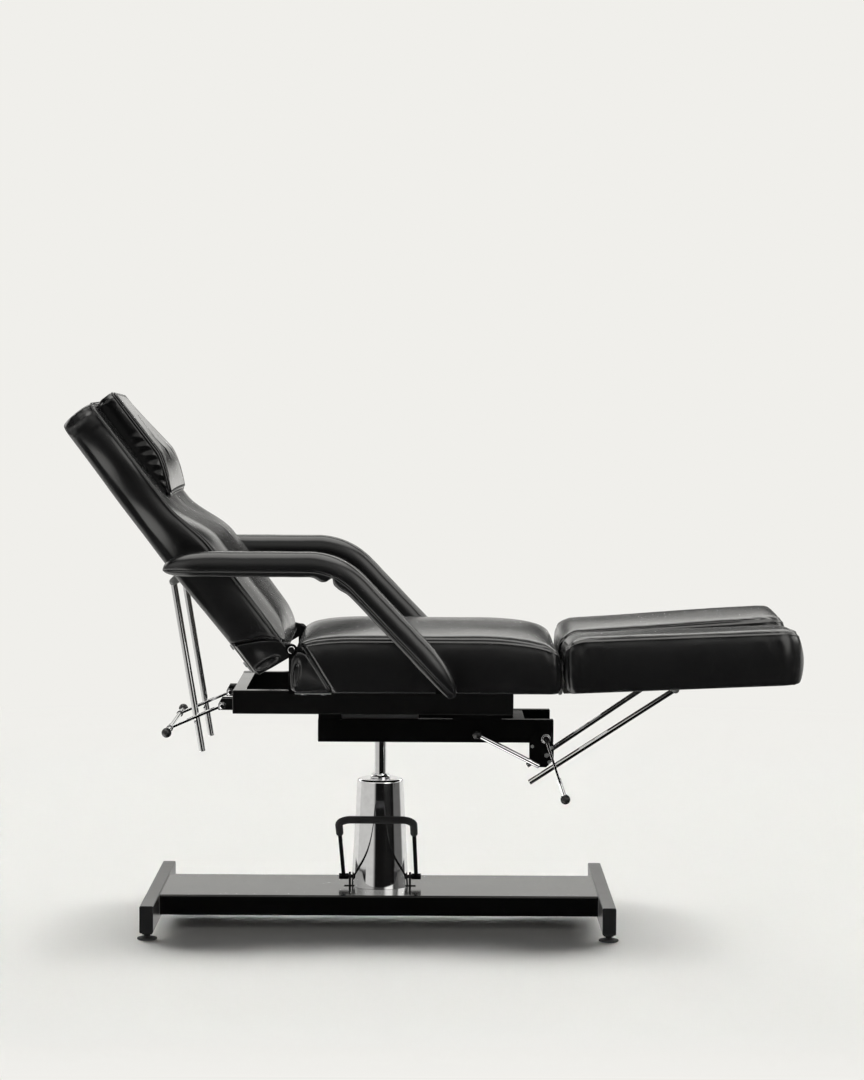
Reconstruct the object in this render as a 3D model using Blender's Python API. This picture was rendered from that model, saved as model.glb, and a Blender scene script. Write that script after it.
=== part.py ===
"""Hydraulic pedicure chair, in metres, +Z up.

The chair faces +X. Places are given in the chair's own frame, whose Z axis is the lifting column's
axis and whose floor is z = 0; the whole chair then stands COLUMN_X along X, so that the origin is on
the floor under the middle of its box. "near" is the -Y side and "far" the +Y side.
"""
import math

import bmesh
import bpy
from mathutils import Matrix, Vector

SIDES = {"near": -1, "far": 1}
COLUMN_X = -0.1192
GAP = 0.0003                     # between pieces that touch
RUN = 0.0004                     # radial clearance of a turning or sliding fit
STEPS = 24                       # facets of a round piece

# Base
BASE_LENGTH = 1.042
BAR_LENGTH = 0.620
BAR_WIDTH = 0.030
BAR_HEIGHT = 0.060
BAR_EDGE = 0.0025
FOOT_HEIGHT = 0.017
FOOT_DISC_RADIUS = 0.022
FOOT_DISC_HEIGHT = 0.007
FOOT_STUD_RADIUS = 0.007
FOOT_FROM_BAR_END = 0.024
PLATE_WIDTH = 0.288
PLATE_SHEET = 0.003
PLATE_FLANGE = 0.045
PLATE_BEND = 0.005
PLATE_BELOW_BAR = 0.003

# Hydraulic column
COVER_BOTTOM_RADIUS = 0.0645
COVER_TOP_RADIUS = 0.0525
COVER_HEIGHT = 0.246
COVER_WALL = 0.0016
COVER_SHOULDER = 0.006
GLAND_RADIUS = 0.023
GLAND_HEIGHT = 0.010
PISTON_RADIUS = 0.013
PISTON_INSIDE = 0.208            # length inside the cover with the seat at its lowest
PUMP_RADIUS = 0.040
PUMP_BELOW_COVER = 0.012
HUB_RADIUS = 0.028
HUB_SOCKET = 0.030

# Foot pedal
PEDAL_SHAFT_RADIUS = 0.004
PEDAL_SHAFT_ABOVE_PLATE = 0.020
PEDAL_SLEEVE_RADIUS = 0.0068
PEDAL_SLEEVE_LENGTH = 0.022
PEDAL_LUG_THICKNESS = 0.005
PEDAL_LUG_HALF_WIDTH = 0.010
PEDAL_LUG_FROM_COVER = 0.0015
PEDAL_REACH = 0.291
PEDAL_ANGLE = 34.5               # degrees above the floor
PEDAL_BAR_RADIUS = 0.0045
PEDAL_BEND = 0.026
PEDAL_GRIP_RADIUS = 0.0083
PEDAL_GRIP_ON_LEG = 0.040

# Under-frames
LOWER_FRAME_BOTTOM = 0.416
LOWER_FRAME_HALF_WIDTH = 0.115
LOWER_FRAME_REAR = -0.139
LOWER_FRAME_FROM_SEAT = 0.008    # its front end behind the seat's
TUBE_WIDTH = 0.025
TUBE_HEIGHT = 0.052
WELD = 0.001                     # cross members stand this far inside the rails' faces
HUB_CROSS_FROM_AXIS = 0.035
FRONT_CROSS_FROM_END = 0.064
SPACER_HEIGHT = 0.022
REAR_SPACER_LENGTH = 0.051
FRONT_SPACER_REAR = 0.162
FRONT_SPACER_LENGTH = 0.111
MOUNT_PLATE_HALF_LENGTH = 0.0862
MOUNT_PLATE_HALF_WIDTH = 0.110
MOUNT_PLATE_THICKNESS = 0.010
UPPER_FRAME_REAR = -0.324
UPPER_FRAME_FRONT = 0.296
UPPER_FRAME_HALF_WIDTH = 0.220
REAR_CROSS_WIDTH = 0.027

# Seat
SEAT_REAR = -0.188
SEAT_LENGTH = 0.585
SEAT_HALF_WIDTH = 0.280
SEAT_SIDE = 0.110                # lower edge to top seam
SEAT_CROWN = 0.010
BOARD_THICKNESS = 0.0117
BOARD_INSET = 0.014
BOARD_PROUD = 0.0037             # the board stands out of the cover's underside
SEAM_DIP = 0.0030
TUCK_DEPTH = 0.0175              # hollow for the hinge ironwork at the lower corners
CORNER = 0.022

# Back
BACK_HINGE_X = -0.192
BACK_HINGE_Z = 0.637
BACK_ANGLE = 52.6                # degrees above level in the photographed pose
BACK_REAR = -0.0966              # rear plane, measured from the hinge towards the sitter
BACK_LOW = 0.007
BACK_LENGTH = 0.687
BACK_SIDE = 0.0869
BACK_CROWN = 0.028
BACK_UPPER_SHARE = 0.79          # side depth of the upper back against the lower
BACK_UPPER_CROWN = 0.15          # and its crown, flat under the pillow
PILLOW_LOW = 0.430
PILLOW_LENGTH = 0.257
PILLOW_HALF_WIDTH = 0.195
PILLOW_SIDE = 0.034
PILLOW_CROWN = 0.012

# Back hinge ironwork
STRAP_THICKNESS = 0.004
EAR_THICKNESS = 0.003
EAR_HALF_WIDTH = 0.011
HINGE_EYE_RADIUS = 0.013
HINGE_PIN_RADIUS = 0.005
HINGE_HEAD_RADIUS = 0.008
HINGE_HEAD_HEIGHT = 0.005
SEAT_IRON_THICKNESS = 0.0027
SEAT_IRON_LENGTH = 0.083

# Support rods and their pivots
ROD_RADIUS = 0.006
EYE_RADIUS = 0.0085
EYE_WIDTH = 2 * ROD_RADIUS + 0.0012
PIVOT_RADIUS = 0.003
CLEVIS_EAR = 0.003
CLEVIS_EAR_GAP = 0.0005
CLEVIS_FOOT = 0.003
CLEVIS_LENGTH = 0.036
BACK_ROD_Y = 0.145
BACK_ROD_LENGTH = 0.385
BACK_ROD_PIVOT = (-0.128, 0.274)   # towards the sitter, up the back
LEG_ROD_Y = 0.142
LEG_ROD_LENGTH = 0.387
LEG_ROD_PIVOT = (0.260, -0.0108)   # along the leg rest, above its hinge pin

# Rear release handle
HANDLE_PIVOT_BEHIND_FRAME = 0.026
HANDLE_PIVOT_ABOVE_FRAME = 0.011   # above the underside of the upper frame
HANDLE_ARM = 0.128
HANDLE_DROP = 23.5               # degrees below level
HANDLE_BAR_RADIUS = 0.0053
KNOB_RADIUS = 0.011
KNOB_SOCKET = 0.007
HANDLE_KNOB_Y = 0.2425
LOCK_THICKNESS = 0.004
LOCK_WIDTH = 0.026
LOCK_SLOT_CLEARANCE = 0.0008
BACK_LOCK_AT = 0.064             # from the handle pivot to the rod
BACK_LOCK_SLOT = 0.042
HANDLE_EYE_RADIUS = 0.009
HANDLE_PIN_RADIUS = 0.004
BRACKET_EAR = 0.004
BRACKET_TOP = 0.017
BRACKET_BOTTOM = 0.009

# Leg rests
LEG_ANGLE = {"near": 2.5, "far": 4.2}   # degrees above level in the photographed pose
LEG_HINGE_FROM_SEAT = 0.0015
LEG_HINGE_BELOW_BOARD = 0.0018
LEG_START = 0.012
LEG_LENGTH = 0.516
LEG_INNER_Y = 0.005
LEG_WIDTH = 0.272
LEG_SIDE = 0.109
LEG_CROWN = 0.008
LEG_END_CORNER = 0.050
LEG_BOARD_START = 0.0065
KNUCKLE_RADIUS = 0.005
KNUCKLE_PIN_RADIUS = 0.0025
KNUCKLE_LENGTH = 0.040
LEAF_HALF_WIDTH = 0.080
LEAF_LENGTH = 0.045
LEAF_THICKNESS = 0.002

# Leg release levers
LEVER_FROM_FRAME_END = 0.0184
LEVER_ABOVE_FRAME_BOTTOM = 0.014
LEVER_LEAN = 18.06               # degrees from plumb
LEVER_ARM = 0.145
LEVER_BOSS_RADIUS = 0.0105
LEVER_BOSS_LENGTH = 0.033
LEVER_SHAFT_RADIUS = 0.0045
LEVER_TAIL_WIDTH = 0.009
LEG_LOCK_AT = 0.066
LEG_LOCK_SLOT = 0.048
CRANK_THICKNESS = 0.007
CRANK_FROM_RAIL = 0.0012
FAR_BAR_RADIUS = 0.0055
FAR_BAR_END = (-0.017, -0.063)     # from the lever shaft
FAR_BAR_KNOB = (-0.153, 0.006)

# Armrests
ARM_PIVOT = (-0.0743, 0.2933)      # towards the sitter, up the back
ARM_FROM_SEAT = 0.010            # inner face of the steel bar outside the seat's side
ARM_BAR_THICKNESS = 0.0036
ARM_BAR_WIDTH = 0.052
ARM_PAD_WIDTH = 0.068
ARM_PAD_DEPTH = 0.054
ARM_REAR = 0.040                 # pad behind its pivot
ARM_RISE = 0.004
ARM_RUN = 0.338                  # pivot to the corner of the bend
ARM_BEND = 0.150
ARM_SLOPE = 45.0
ARM_SLOPE_LENGTH = 0.289
ARM_TIP_LENGTH = 0.087
ARM_TIP_SLOPE = 60.0
ARM_NOSE = 0.105
ARM_TIP_NOSE = 0.040
ARM_PIN_RADIUS = 0.004
ARM_PIVOT_RADIUS = 0.005
ARM_SLOT_FROM_TIP_BEND = 0.030
ARM_SLOT_TRAVEL = 0.064
ARM_PIN_AHEAD = 0.0054           # of the slot's middle in the photographed pose
ARM_SLOT_CLEARANCE = 0.0016
ARM_IRON = 0.003
ARM_IRON_HALF_WIDTH = 0.015
ARM_IRON_FROM_SEAT = 0.0055

# Heights and places that follow from the sizes above
BAR_TOP = FOOT_HEIGHT + BAR_HEIGHT
PLATE_TOP = BAR_TOP - PLATE_BELOW_BAR
COVER_BOTTOM = PLATE_TOP + GAP
COVER_TOP = COVER_BOTTOM + COVER_HEIGHT
PEDAL_SHAFT_Z = PLATE_TOP + PEDAL_SHAFT_ABOVE_PLATE
LUG_INNER_X = COVER_BOTTOM_RADIUS + PEDAL_LUG_FROM_COVER
LUG_OUTER_X = LUG_INNER_X + PEDAL_LUG_THICKNESS
SLEEVE_INNER_X = LUG_OUTER_X + 2 * GAP
SLEEVE_OUTER_X = SLEEVE_INNER_X + PEDAL_SLEEVE_LENGTH
PEDAL_LEG_X = (SLEEVE_INNER_X + SLEEVE_OUTER_X) / 2
LOWER_FRAME_TOP = LOWER_FRAME_BOTTOM + TUBE_HEIGHT
PISTON_TOP = LOWER_FRAME_BOTTOM + HUB_SOCKET
UPPER_FRAME_BOTTOM = LOWER_FRAME_TOP + SPACER_HEIGHT
UPPER_FRAME_TOP = UPPER_FRAME_BOTTOM + TUBE_HEIGHT
SEAT_BOARD_BOTTOM = UPPER_FRAME_TOP + GAP
SEAT_BOTTOM = SEAT_BOARD_BOTTOM + BOARD_PROUD
SEAT_FRONT = SEAT_REAR + SEAT_LENGTH
LOWER_FRAME_FRONT = SEAT_FRONT - LOWER_FRAME_FROM_SEAT
LEVER_X = LOWER_FRAME_FRONT - LEVER_FROM_FRAME_END
LEVER_Z = LOWER_FRAME_BOTTOM + LEVER_ABOVE_FRAME_BOTTOM
HANDLE_PIVOT_X = UPPER_FRAME_REAR - HANDLE_PIVOT_BEHIND_FRAME
HANDLE_PIVOT_Z = UPPER_FRAME_BOTTOM + HANDLE_PIVOT_ABOVE_FRAME
BOARD_HALF_WIDTH = SEAT_HALF_WIDTH - TUCK_DEPTH - GAP
BACK_TURN = math.radians(BACK_ANGLE - 90)
LEG_HINGE_X = SEAT_FRONT + LEG_HINGE_FROM_SEAT
LEG_HINGE_Z = SEAT_BOARD_BOTTOM - LEG_HINGE_BELOW_BOARD
STRAP_INNER_Y = BOARD_HALF_WIDTH + 2 * GAP
STRAP_OUTER_Y = STRAP_INNER_Y + STRAP_THICKNESS
EAR_INNER_Y = STRAP_OUTER_Y + 2 * GAP
EAR_OUTER_Y = EAR_INNER_Y + EAR_THICKNESS
ARM_INNER_Y = SEAT_HALF_WIDTH + ARM_FROM_SEAT
ARM_PAD_INNER_Y = ARM_INNER_Y + ARM_BAR_THICKNESS + GAP
ARM_IRON_Y = SEAT_HALF_WIDTH + ARM_IRON_FROM_SEAT

FINISHES = {
    "leather": ((0.016, 0.016, 0.017), 0.36, 0.0),
    "black_paint": ((0.012, 0.012, 0.012), 0.28, 0.0),
    "grey_paint": ((0.045, 0.045, 0.046), 0.30, 0.0),
    "chrome": ((0.78, 0.78, 0.79), 0.07, 1.0),
    "zinc": ((0.62, 0.63, 0.64), 0.30, 1.0),
    "plywood": ((0.03, 0.028, 0.026), 0.65, 0.0),
    "black_plastic": ((0.02, 0.02, 0.02), 0.30, 0.0),
    "foam": ((0.025, 0.025, 0.025), 0.85, 0.0),
    "rubber": ((0.02, 0.02, 0.02), 0.70, 0.0),
    "cast_iron": ((0.10, 0.10, 0.10), 0.60, 0.6),
}


# Modelling helpers

def solid(bm):
    """Turn a bmesh into a mesh with its faces pointing out."""
    bmesh.ops.recalc_face_normals(bm, faces=bm.faces)
    mesh = bpy.data.meshes.new("solid")
    bm.to_mesh(mesh)
    bm.free()
    return mesh


def block(low, high, edge=0.0):
    """A box between two corners, with rounded edges if asked."""
    low, high = Vector(low), Vector(high)
    size = high - low
    bm = bmesh.new()
    place = Matrix.Translation((low + high) / 2) @ Matrix.Diagonal((*size, 1))
    bmesh.ops.create_cube(bm, size=1.0, matrix=place)
    if edge:
        bmesh.ops.bevel(bm, geom=bm.edges[:], offset=edge, segments=2, profile=0.5, affect="EDGES")
    return solid(bm)


def sided(side, low, high, edge=0.0):
    """A box given for the far side, put on the named side."""
    ends = sorted((side * low[1], side * high[1]))
    return block((low[0], ends[0], low[2]), (high[0], ends[1], high[2]), edge)


def loft(rings, closed=False):
    """A skin over rings of equal count, with end faces unless the rings run round."""
    bm = bmesh.new()
    rows = [[bm.verts.new(point) for point in ring] for ring in rings]
    pairs = list(zip(rows, rows[1:]))
    if closed:
        pairs.append((rows[-1], rows[0]))
    else:
        bm.faces.new(rows[0])
        bm.faces.new(rows[-1])
    for row, following in pairs:
        for a in range(len(row)):
            b = (a + 1) % len(row)
            bm.faces.new((row[a], row[b], following[b], following[a]))
    return solid(bm)


def plate(outline, y_low, y_high):
    """A flat plate of an outline in X and Z, thick in Y."""
    return loft([[(x, y, z) for x, z in outline] for y in (y_low, y_high)])


def circle(radius, steps=STEPS):
    turn = 2 * math.pi / steps
    return [(radius * math.cos(turn * i), radius * math.sin(turn * i)) for i in range(steps)]


def rounded(width, height, radius, per_corner=4):
    """Outline of a rectangle with round corners, about its middle."""
    points = []
    for quarter, (sx, sy) in enumerate(((1, 1), (-1, 1), (-1, -1), (1, -1))):
        cx = sx * (width / 2 - radius)
        cy = sy * (height / 2 - radius)
        for i in range(per_corner + 1):
            angle = math.pi / 2 * (quarter + i / per_corner)
            points.append((cx + radius * math.cos(angle), cy + radius * math.sin(angle)))
    return points


def bar_y(x, z, radius, y_low, y_high, steps=STEPS):
    """A round bar along Y."""
    return loft([[(x + a, y, z + b) for a, b in circle(radius, steps)] for y in (y_low, y_high)])


def bar_x(y, z, radius, x_low, x_high, steps=STEPS):
    """A round bar along X."""
    return loft([[(x, y + a, z + b) for a, b in circle(radius, steps)] for x in (x_low, x_high)])


def turned(profile, steps=STEPS):
    """A solid turned about Z from a section of (radius, height) points."""
    bm = bmesh.new()
    points = [bm.verts.new((radius, 0, height)) for radius, height in profile]
    ends = list(zip(points, points[1:]))
    if profile[0][0] > 0 or profile[-1][0] > 0:
        ends.append((points[-1], points[0]))
    edges = [bm.edges.new(pair) for pair in ends]
    bmesh.ops.spin(bm, geom=points + edges, cent=(0, 0, 0), axis=(0, 0, 1), angle=2 * math.pi,
                   steps=steps, use_merge=True)
    bmesh.ops.remove_doubles(bm, verts=bm.verts, dist=1e-6)
    return solid(bm)


def swept_rings(path, normal, sections):
    """Rings of section points along a path that lies in a plane with the given normal."""
    normal = Vector(normal).normalized()
    rings = []
    for i, point in enumerate(path):
        along = (path[min(i + 1, len(path) - 1)] - path[max(i - 1, 0)]).normalized()
        across = along.cross(normal)
        rings.append([point + across * a + normal * b for a, b in sections[i]])
    return rings


def swept(path, normal, section):
    return loft(swept_rings(path, normal, [section] * len(path)))


def combine(body, add=(), cut=()):
    """Join meshes to a body and cut others out of it."""
    holder = bpy.data.objects.new("holder", body)
    bpy.context.scene.collection.objects.link(holder)
    tools = []
    for operation, meshes in (("UNION", add), ("DIFFERENCE", cut)):
        for mesh in meshes:
            tool = bpy.data.objects.new("tool", mesh)
            bpy.context.scene.collection.objects.link(tool)
            tools.append(tool)
            modifier = holder.modifiers.new(operation.lower(), "BOOLEAN")
            modifier.operation = operation
            modifier.object = tool
    depsgraph = bpy.context.evaluated_depsgraph_get()
    result = bpy.data.meshes.new_from_object(holder.evaluated_get(depsgraph))
    for thing in [holder] + tools:
        bpy.data.objects.remove(thing)
    return result


def moved(mesh, offset):
    mesh.transform(Matrix.Translation(offset))
    return mesh


def axis_point(name, parent, place, turn=0.0):
    """An empty on a joint's axis, turned about Y."""
    empty = bpy.data.objects.new(name, None)
    empty.location = place
    empty.rotation_euler = (0, turn, 0)
    empty.parent = parent
    bpy.context.scene.collection.objects.link(empty)
    return empty


def piece(name, mesh, parent, finish):
    """A named sub-part with its own material."""
    colour, roughness, metallic = FINISHES[finish]
    material = bpy.data.materials.new(name)
    material.use_nodes = True
    shader = material.node_tree.nodes["Principled BSDF"]
    shader.inputs["Base Color"].default_value = (*colour, 1)
    shader.inputs["Roughness"].default_value = roughness
    shader.inputs["Metallic"].default_value = metallic
    mesh.name = name
    mesh.materials.clear()
    mesh.materials.append(material)
    mesh.shade_smooth()
    mesh.set_sharp_from_angle(angle=math.radians(38))
    thing = bpy.data.objects.new(name, mesh)
    thing.parent = parent
    bpy.context.scene.collection.objects.link(thing)
    return thing


def turned_about_y(point, angle):
    """A point of (x, z) turned about Y; positive takes +Z towards +X."""
    x, z = point
    return (x * math.cos(angle) + z * math.sin(angle), z * math.cos(angle) - x * math.sin(angle))


def world_place(origin, angle, point):
    x, z = turned_about_y(point, angle)
    return (origin[0] + x, origin[1] + z)


def hang_angle(top, through):
    """Turn about Y that brings a rod hanging from top onto a point."""
    return math.atan2(top[0] - through[0], top[1] - through[1])


# Upholstery

def rise(share):
    """Height of a stuffed top as a share of its crown, from an edge (0) to the middle (1)."""
    return 1 - (1 - min(max(share, 0.0), 1.0)) ** 5.5


def cushion_section(half, side, crown):
    """Half a cushion's cross-section as (y, z): a full side, a dipped seam and a crowned top."""
    seam = half - 0.001 - SEAM_DIP
    points = [(half - 0.010, 0), (half - 0.002, 0.04 * side), (half + 0.001, 0.35 * side),
              (half + 0.001, 0.70 * side), (half - 0.001, 0.94 * side), (seam, side)]
    return points + [(seam * (1 - t), side + crown * rise(t)) for t in (0.02, 0.08, 0.18, 0.34, 0.62)]


def cushion(length, width, side, crown, rear_corner, front_corner, draw, side_share=None, crown_share=None):
    """A sewn cushion from x = 0 on z = 0, whose depth and crown may change along it."""
    turns = [1 - math.cos(i * math.pi / 8) for i in range(5)]
    stations = [rear_corner * t for t in turns]
    stations += [length * i / 10 for i in range(1, 10)]
    stations += [length - front_corner * t for t in reversed(turns)]
    reach = min(length, width) / 2
    rings = []
    for x in sorted(stations):
        from_rear, from_front = x, length - x
        half = width / 2
        for gap, corner in ((from_rear, rear_corner), (from_front, front_corner)):
            if gap < corner:
                half -= corner - math.sqrt(corner ** 2 - (corner - gap) ** 2)
        half -= draw * 4 * (x / length) * (1 - x / length)
        depth = side * (side_share(x / length) if side_share else 1)
        top = crown * (crown_share(x / length) if crown_share else 1)
        top *= rise(min(from_rear, from_front) / reach)
        right = cushion_section(half, depth, top)
        left = [(-y, z) for y, z in reversed(right)]
        rings.append([(x, y, z) for y, z in right + left])
    return loft(rings)


def smooth_step(low, high, value):
    t = min(max((value - low) / (high - low), 0.0), 1.0)
    return t * t * (3 - 2 * t)


# Base

def build_base(chair):
    inner_x = BASE_LENGTH / 2 - BAR_WIDTH
    for name, end in (("rear", -1), ("front", 1)):
        x_low, x_high = sorted((end * inner_x, end * BASE_LENGTH / 2))
        bar = block((x_low, -BAR_LENGTH / 2, FOOT_HEIGHT), (x_high, BAR_LENGTH / 2, BAR_TOP), BAR_EDGE)
        piece(name + "_bar", bar, chair, "black_paint")
        for side_name, side in SIDES.items():
            foot = turned([
                (0, 0),
                (FOOT_DISC_RADIUS - 0.001, 0),
                (FOOT_DISC_RADIUS, 0.001),
                (FOOT_DISC_RADIUS, 0.6 * FOOT_DISC_HEIGHT),
                (FOOT_STUD_RADIUS + 0.004, FOOT_DISC_HEIGHT),
                (FOOT_STUD_RADIUS, FOOT_DISC_HEIGHT + 0.001),
                (FOOT_STUD_RADIUS, FOOT_HEIGHT - GAP),
                (0, FOOT_HEIGHT - GAP),
            ])
            place = ((x_low + x_high) / 2, side * (BAR_LENGTH / 2 - FOOT_FROM_BAR_END), 0)
            piece("foot_" + name + "_" + side_name, moved(foot, place), chair, "rubber")

    half = PLATE_WIDTH / 2
    low = PLATE_TOP - PLATE_FLANGE
    bend = [(PLATE_BEND * (1 - math.cos(a)), PLATE_BEND * (1 - math.sin(a)))
            for a in (i * math.pi / 8 for i in range(5))]
    outside = [(-half, low)] + [(-half + y, PLATE_TOP - z) for y, z in bend]
    outside += [(half - y, PLATE_TOP - z) for y, z in reversed(bend)] + [(half, low)]
    wall = half - PLATE_SHEET
    inside = [(wall, low), (wall, PLATE_TOP - PLATE_BEND), (wall - 0.002, PLATE_TOP - PLATE_SHEET),
              (-wall + 0.002, PLATE_TOP - PLATE_SHEET), (-wall, PLATE_TOP - PLATE_BEND), (-wall, low)]
    channel = loft([[(x, y, z) for y, z in outside + inside] for x in (-inner_x + GAP, inner_x - GAP)])
    top = [(PEDAL_LUG_HALF_WIDTH * math.cos(a), PEDAL_SHAFT_Z + PEDAL_LUG_HALF_WIDTH * math.sin(a))
           for a in (i * math.pi / 8 for i in range(9))]
    foot_z = PLATE_TOP - PLATE_SHEET / 2
    outline = [(PEDAL_LUG_HALF_WIDTH, foot_z)] + top + [(-PEDAL_LUG_HALF_WIDTH, foot_z)]
    lugs = [loft([[(end * x, y, z) for y, z in outline] for x in (LUG_INNER_X, LUG_OUTER_X)])
            for end in (-1, 1)]
    bores = [bar_x(0, PEDAL_SHAFT_Z, PEDAL_SHAFT_RADIUS + RUN, -2 * LUG_OUTER_X, 2 * LUG_OUTER_X)]
    piece("base_plate", combine(channel, lugs, bores), chair, "black_paint")


def build_column(chair):
    inner_bottom = COVER_BOTTOM_RADIUS - COVER_WALL
    inner_top = COVER_TOP_RADIUS - COVER_WALL
    neck = PISTON_RADIUS + 0.004
    cover = turned([
        (COVER_BOTTOM_RADIUS, COVER_BOTTOM),
        (COVER_TOP_RADIUS, COVER_TOP - COVER_SHOULDER),
        (COVER_TOP_RADIUS - 0.3 * COVER_SHOULDER, COVER_TOP - 0.3 * COVER_SHOULDER),
        (COVER_TOP_RADIUS - COVER_SHOULDER, COVER_TOP),
        (neck, COVER_TOP),
        (neck, COVER_TOP - COVER_WALL),
        (inner_top - COVER_SHOULDER, COVER_TOP - COVER_WALL),
        (inner_top, COVER_TOP - COVER_SHOULDER),
        (inner_bottom, COVER_BOTTOM),
    ], 40)
    notch = PEDAL_SHAFT_RADIUS + 2 * RUN
    reach = 1.5 * COVER_BOTTOM_RADIUS
    notches = [bar_x(0, PEDAL_SHAFT_Z, notch, -reach, reach),
               block((-reach, -notch, COVER_BOTTOM - 0.01), (reach, notch, PEDAL_SHAFT_Z))]
    piece("column_cover", combine(cover, cut=notches), chair, "chrome")

    seal = PISTON_RADIUS + RUN
    gland_bottom = COVER_TOP + GAP
    gland = turned([
        (seal, gland_bottom),
        (GLAND_RADIUS, gland_bottom),
        (GLAND_RADIUS, gland_bottom + 0.6 * GLAND_HEIGHT),
        (GLAND_RADIUS - 0.004, gland_bottom + GLAND_HEIGHT),
        (seal, gland_bottom + GLAND_HEIGHT),
    ])
    piece("gland_ring", gland, chair, "chrome")

    piston_bottom = COVER_TOP - PISTON_INSIDE
    pump_top = COVER_TOP - PUMP_BELOW_COVER
    pump = turned([
        (0, PLATE_TOP + GAP),
        (PUMP_RADIUS, PLATE_TOP + GAP),
        (PUMP_RADIUS, pump_top),
        (PISTON_RADIUS + RUN, pump_top),
        (PISTON_RADIUS + RUN, piston_bottom - GAP),
        (0, piston_bottom - GAP),
    ])
    crossing = bar_x(0, PEDAL_SHAFT_Z, PEDAL_SHAFT_RADIUS + RUN, -2 * PUMP_RADIUS, 2 * PUMP_RADIUS)
    piece("pump_body", combine(pump, cut=[crossing]), chair, "cast_iron")

    lift = axis_point("lift_axis", chair, (0, 0, 0))
    piston = turned([
        (0, piston_bottom),
        (PISTON_RADIUS, piston_bottom),
        (PISTON_RADIUS, PISTON_TOP),
        (0, PISTON_TOP),
    ])
    piece("piston_rod", piston, lift, "chrome")
    return lift


def build_pedal(chair):
    pivot = axis_point("pedal_axis", chair, (0, 0, PEDAL_SHAFT_Z))
    lean = math.radians(PEDAL_ANGLE)
    out = Vector((0, -math.cos(lean), math.sin(lean)))
    across = Vector((1, 0, 0))
    normal = across.cross(out)
    bends = [i * math.pi / 12 for i in range(7)]
    straight = PEDAL_REACH - PEDAL_BEND

    def leg_and_bend(side, start):
        run = [(side * PEDAL_LEG_X, start)]
        middle = side * (PEDAL_LEG_X - PEDAL_BEND)
        return run + [(middle + side * PEDAL_BEND * math.cos(a), straight + PEDAL_BEND * math.sin(a))
                      for a in bends]

    def u_path(start):
        plan = leg_and_bend(-1, start) + leg_and_bend(1, start)[::-1]
        return [across * x + out * reach for x, reach in plan]

    bar = swept(u_path(0), normal, circle(PEDAL_BAR_RADIUS, 12))
    shaft = bar_x(0, 0, PEDAL_SHAFT_RADIUS, -SLEEVE_OUTER_X, SLEEVE_OUTER_X)
    sleeves = [bar_x(0, 0, PEDAL_SLEEVE_RADIUS, *sorted((end * SLEEVE_INNER_X, end * SLEEVE_OUTER_X)))
               for end in (-1, 1)]
    piece("pedal_frame", combine(shaft, sleeves + [bar]), pivot, "black_paint")

    grip_path = u_path(straight - PEDAL_GRIP_ON_LEG)
    outer = swept_rings(grip_path, normal, [circle(PEDAL_GRIP_RADIUS, 12)] * len(grip_path))
    inner = swept_rings(grip_path, normal, [circle(PEDAL_BAR_RADIUS + GAP, 12)] * len(grip_path))
    piece("pedal_grip", loft(outer + inner[::-1], closed=True), pivot, "foam")


# Under-frames

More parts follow.
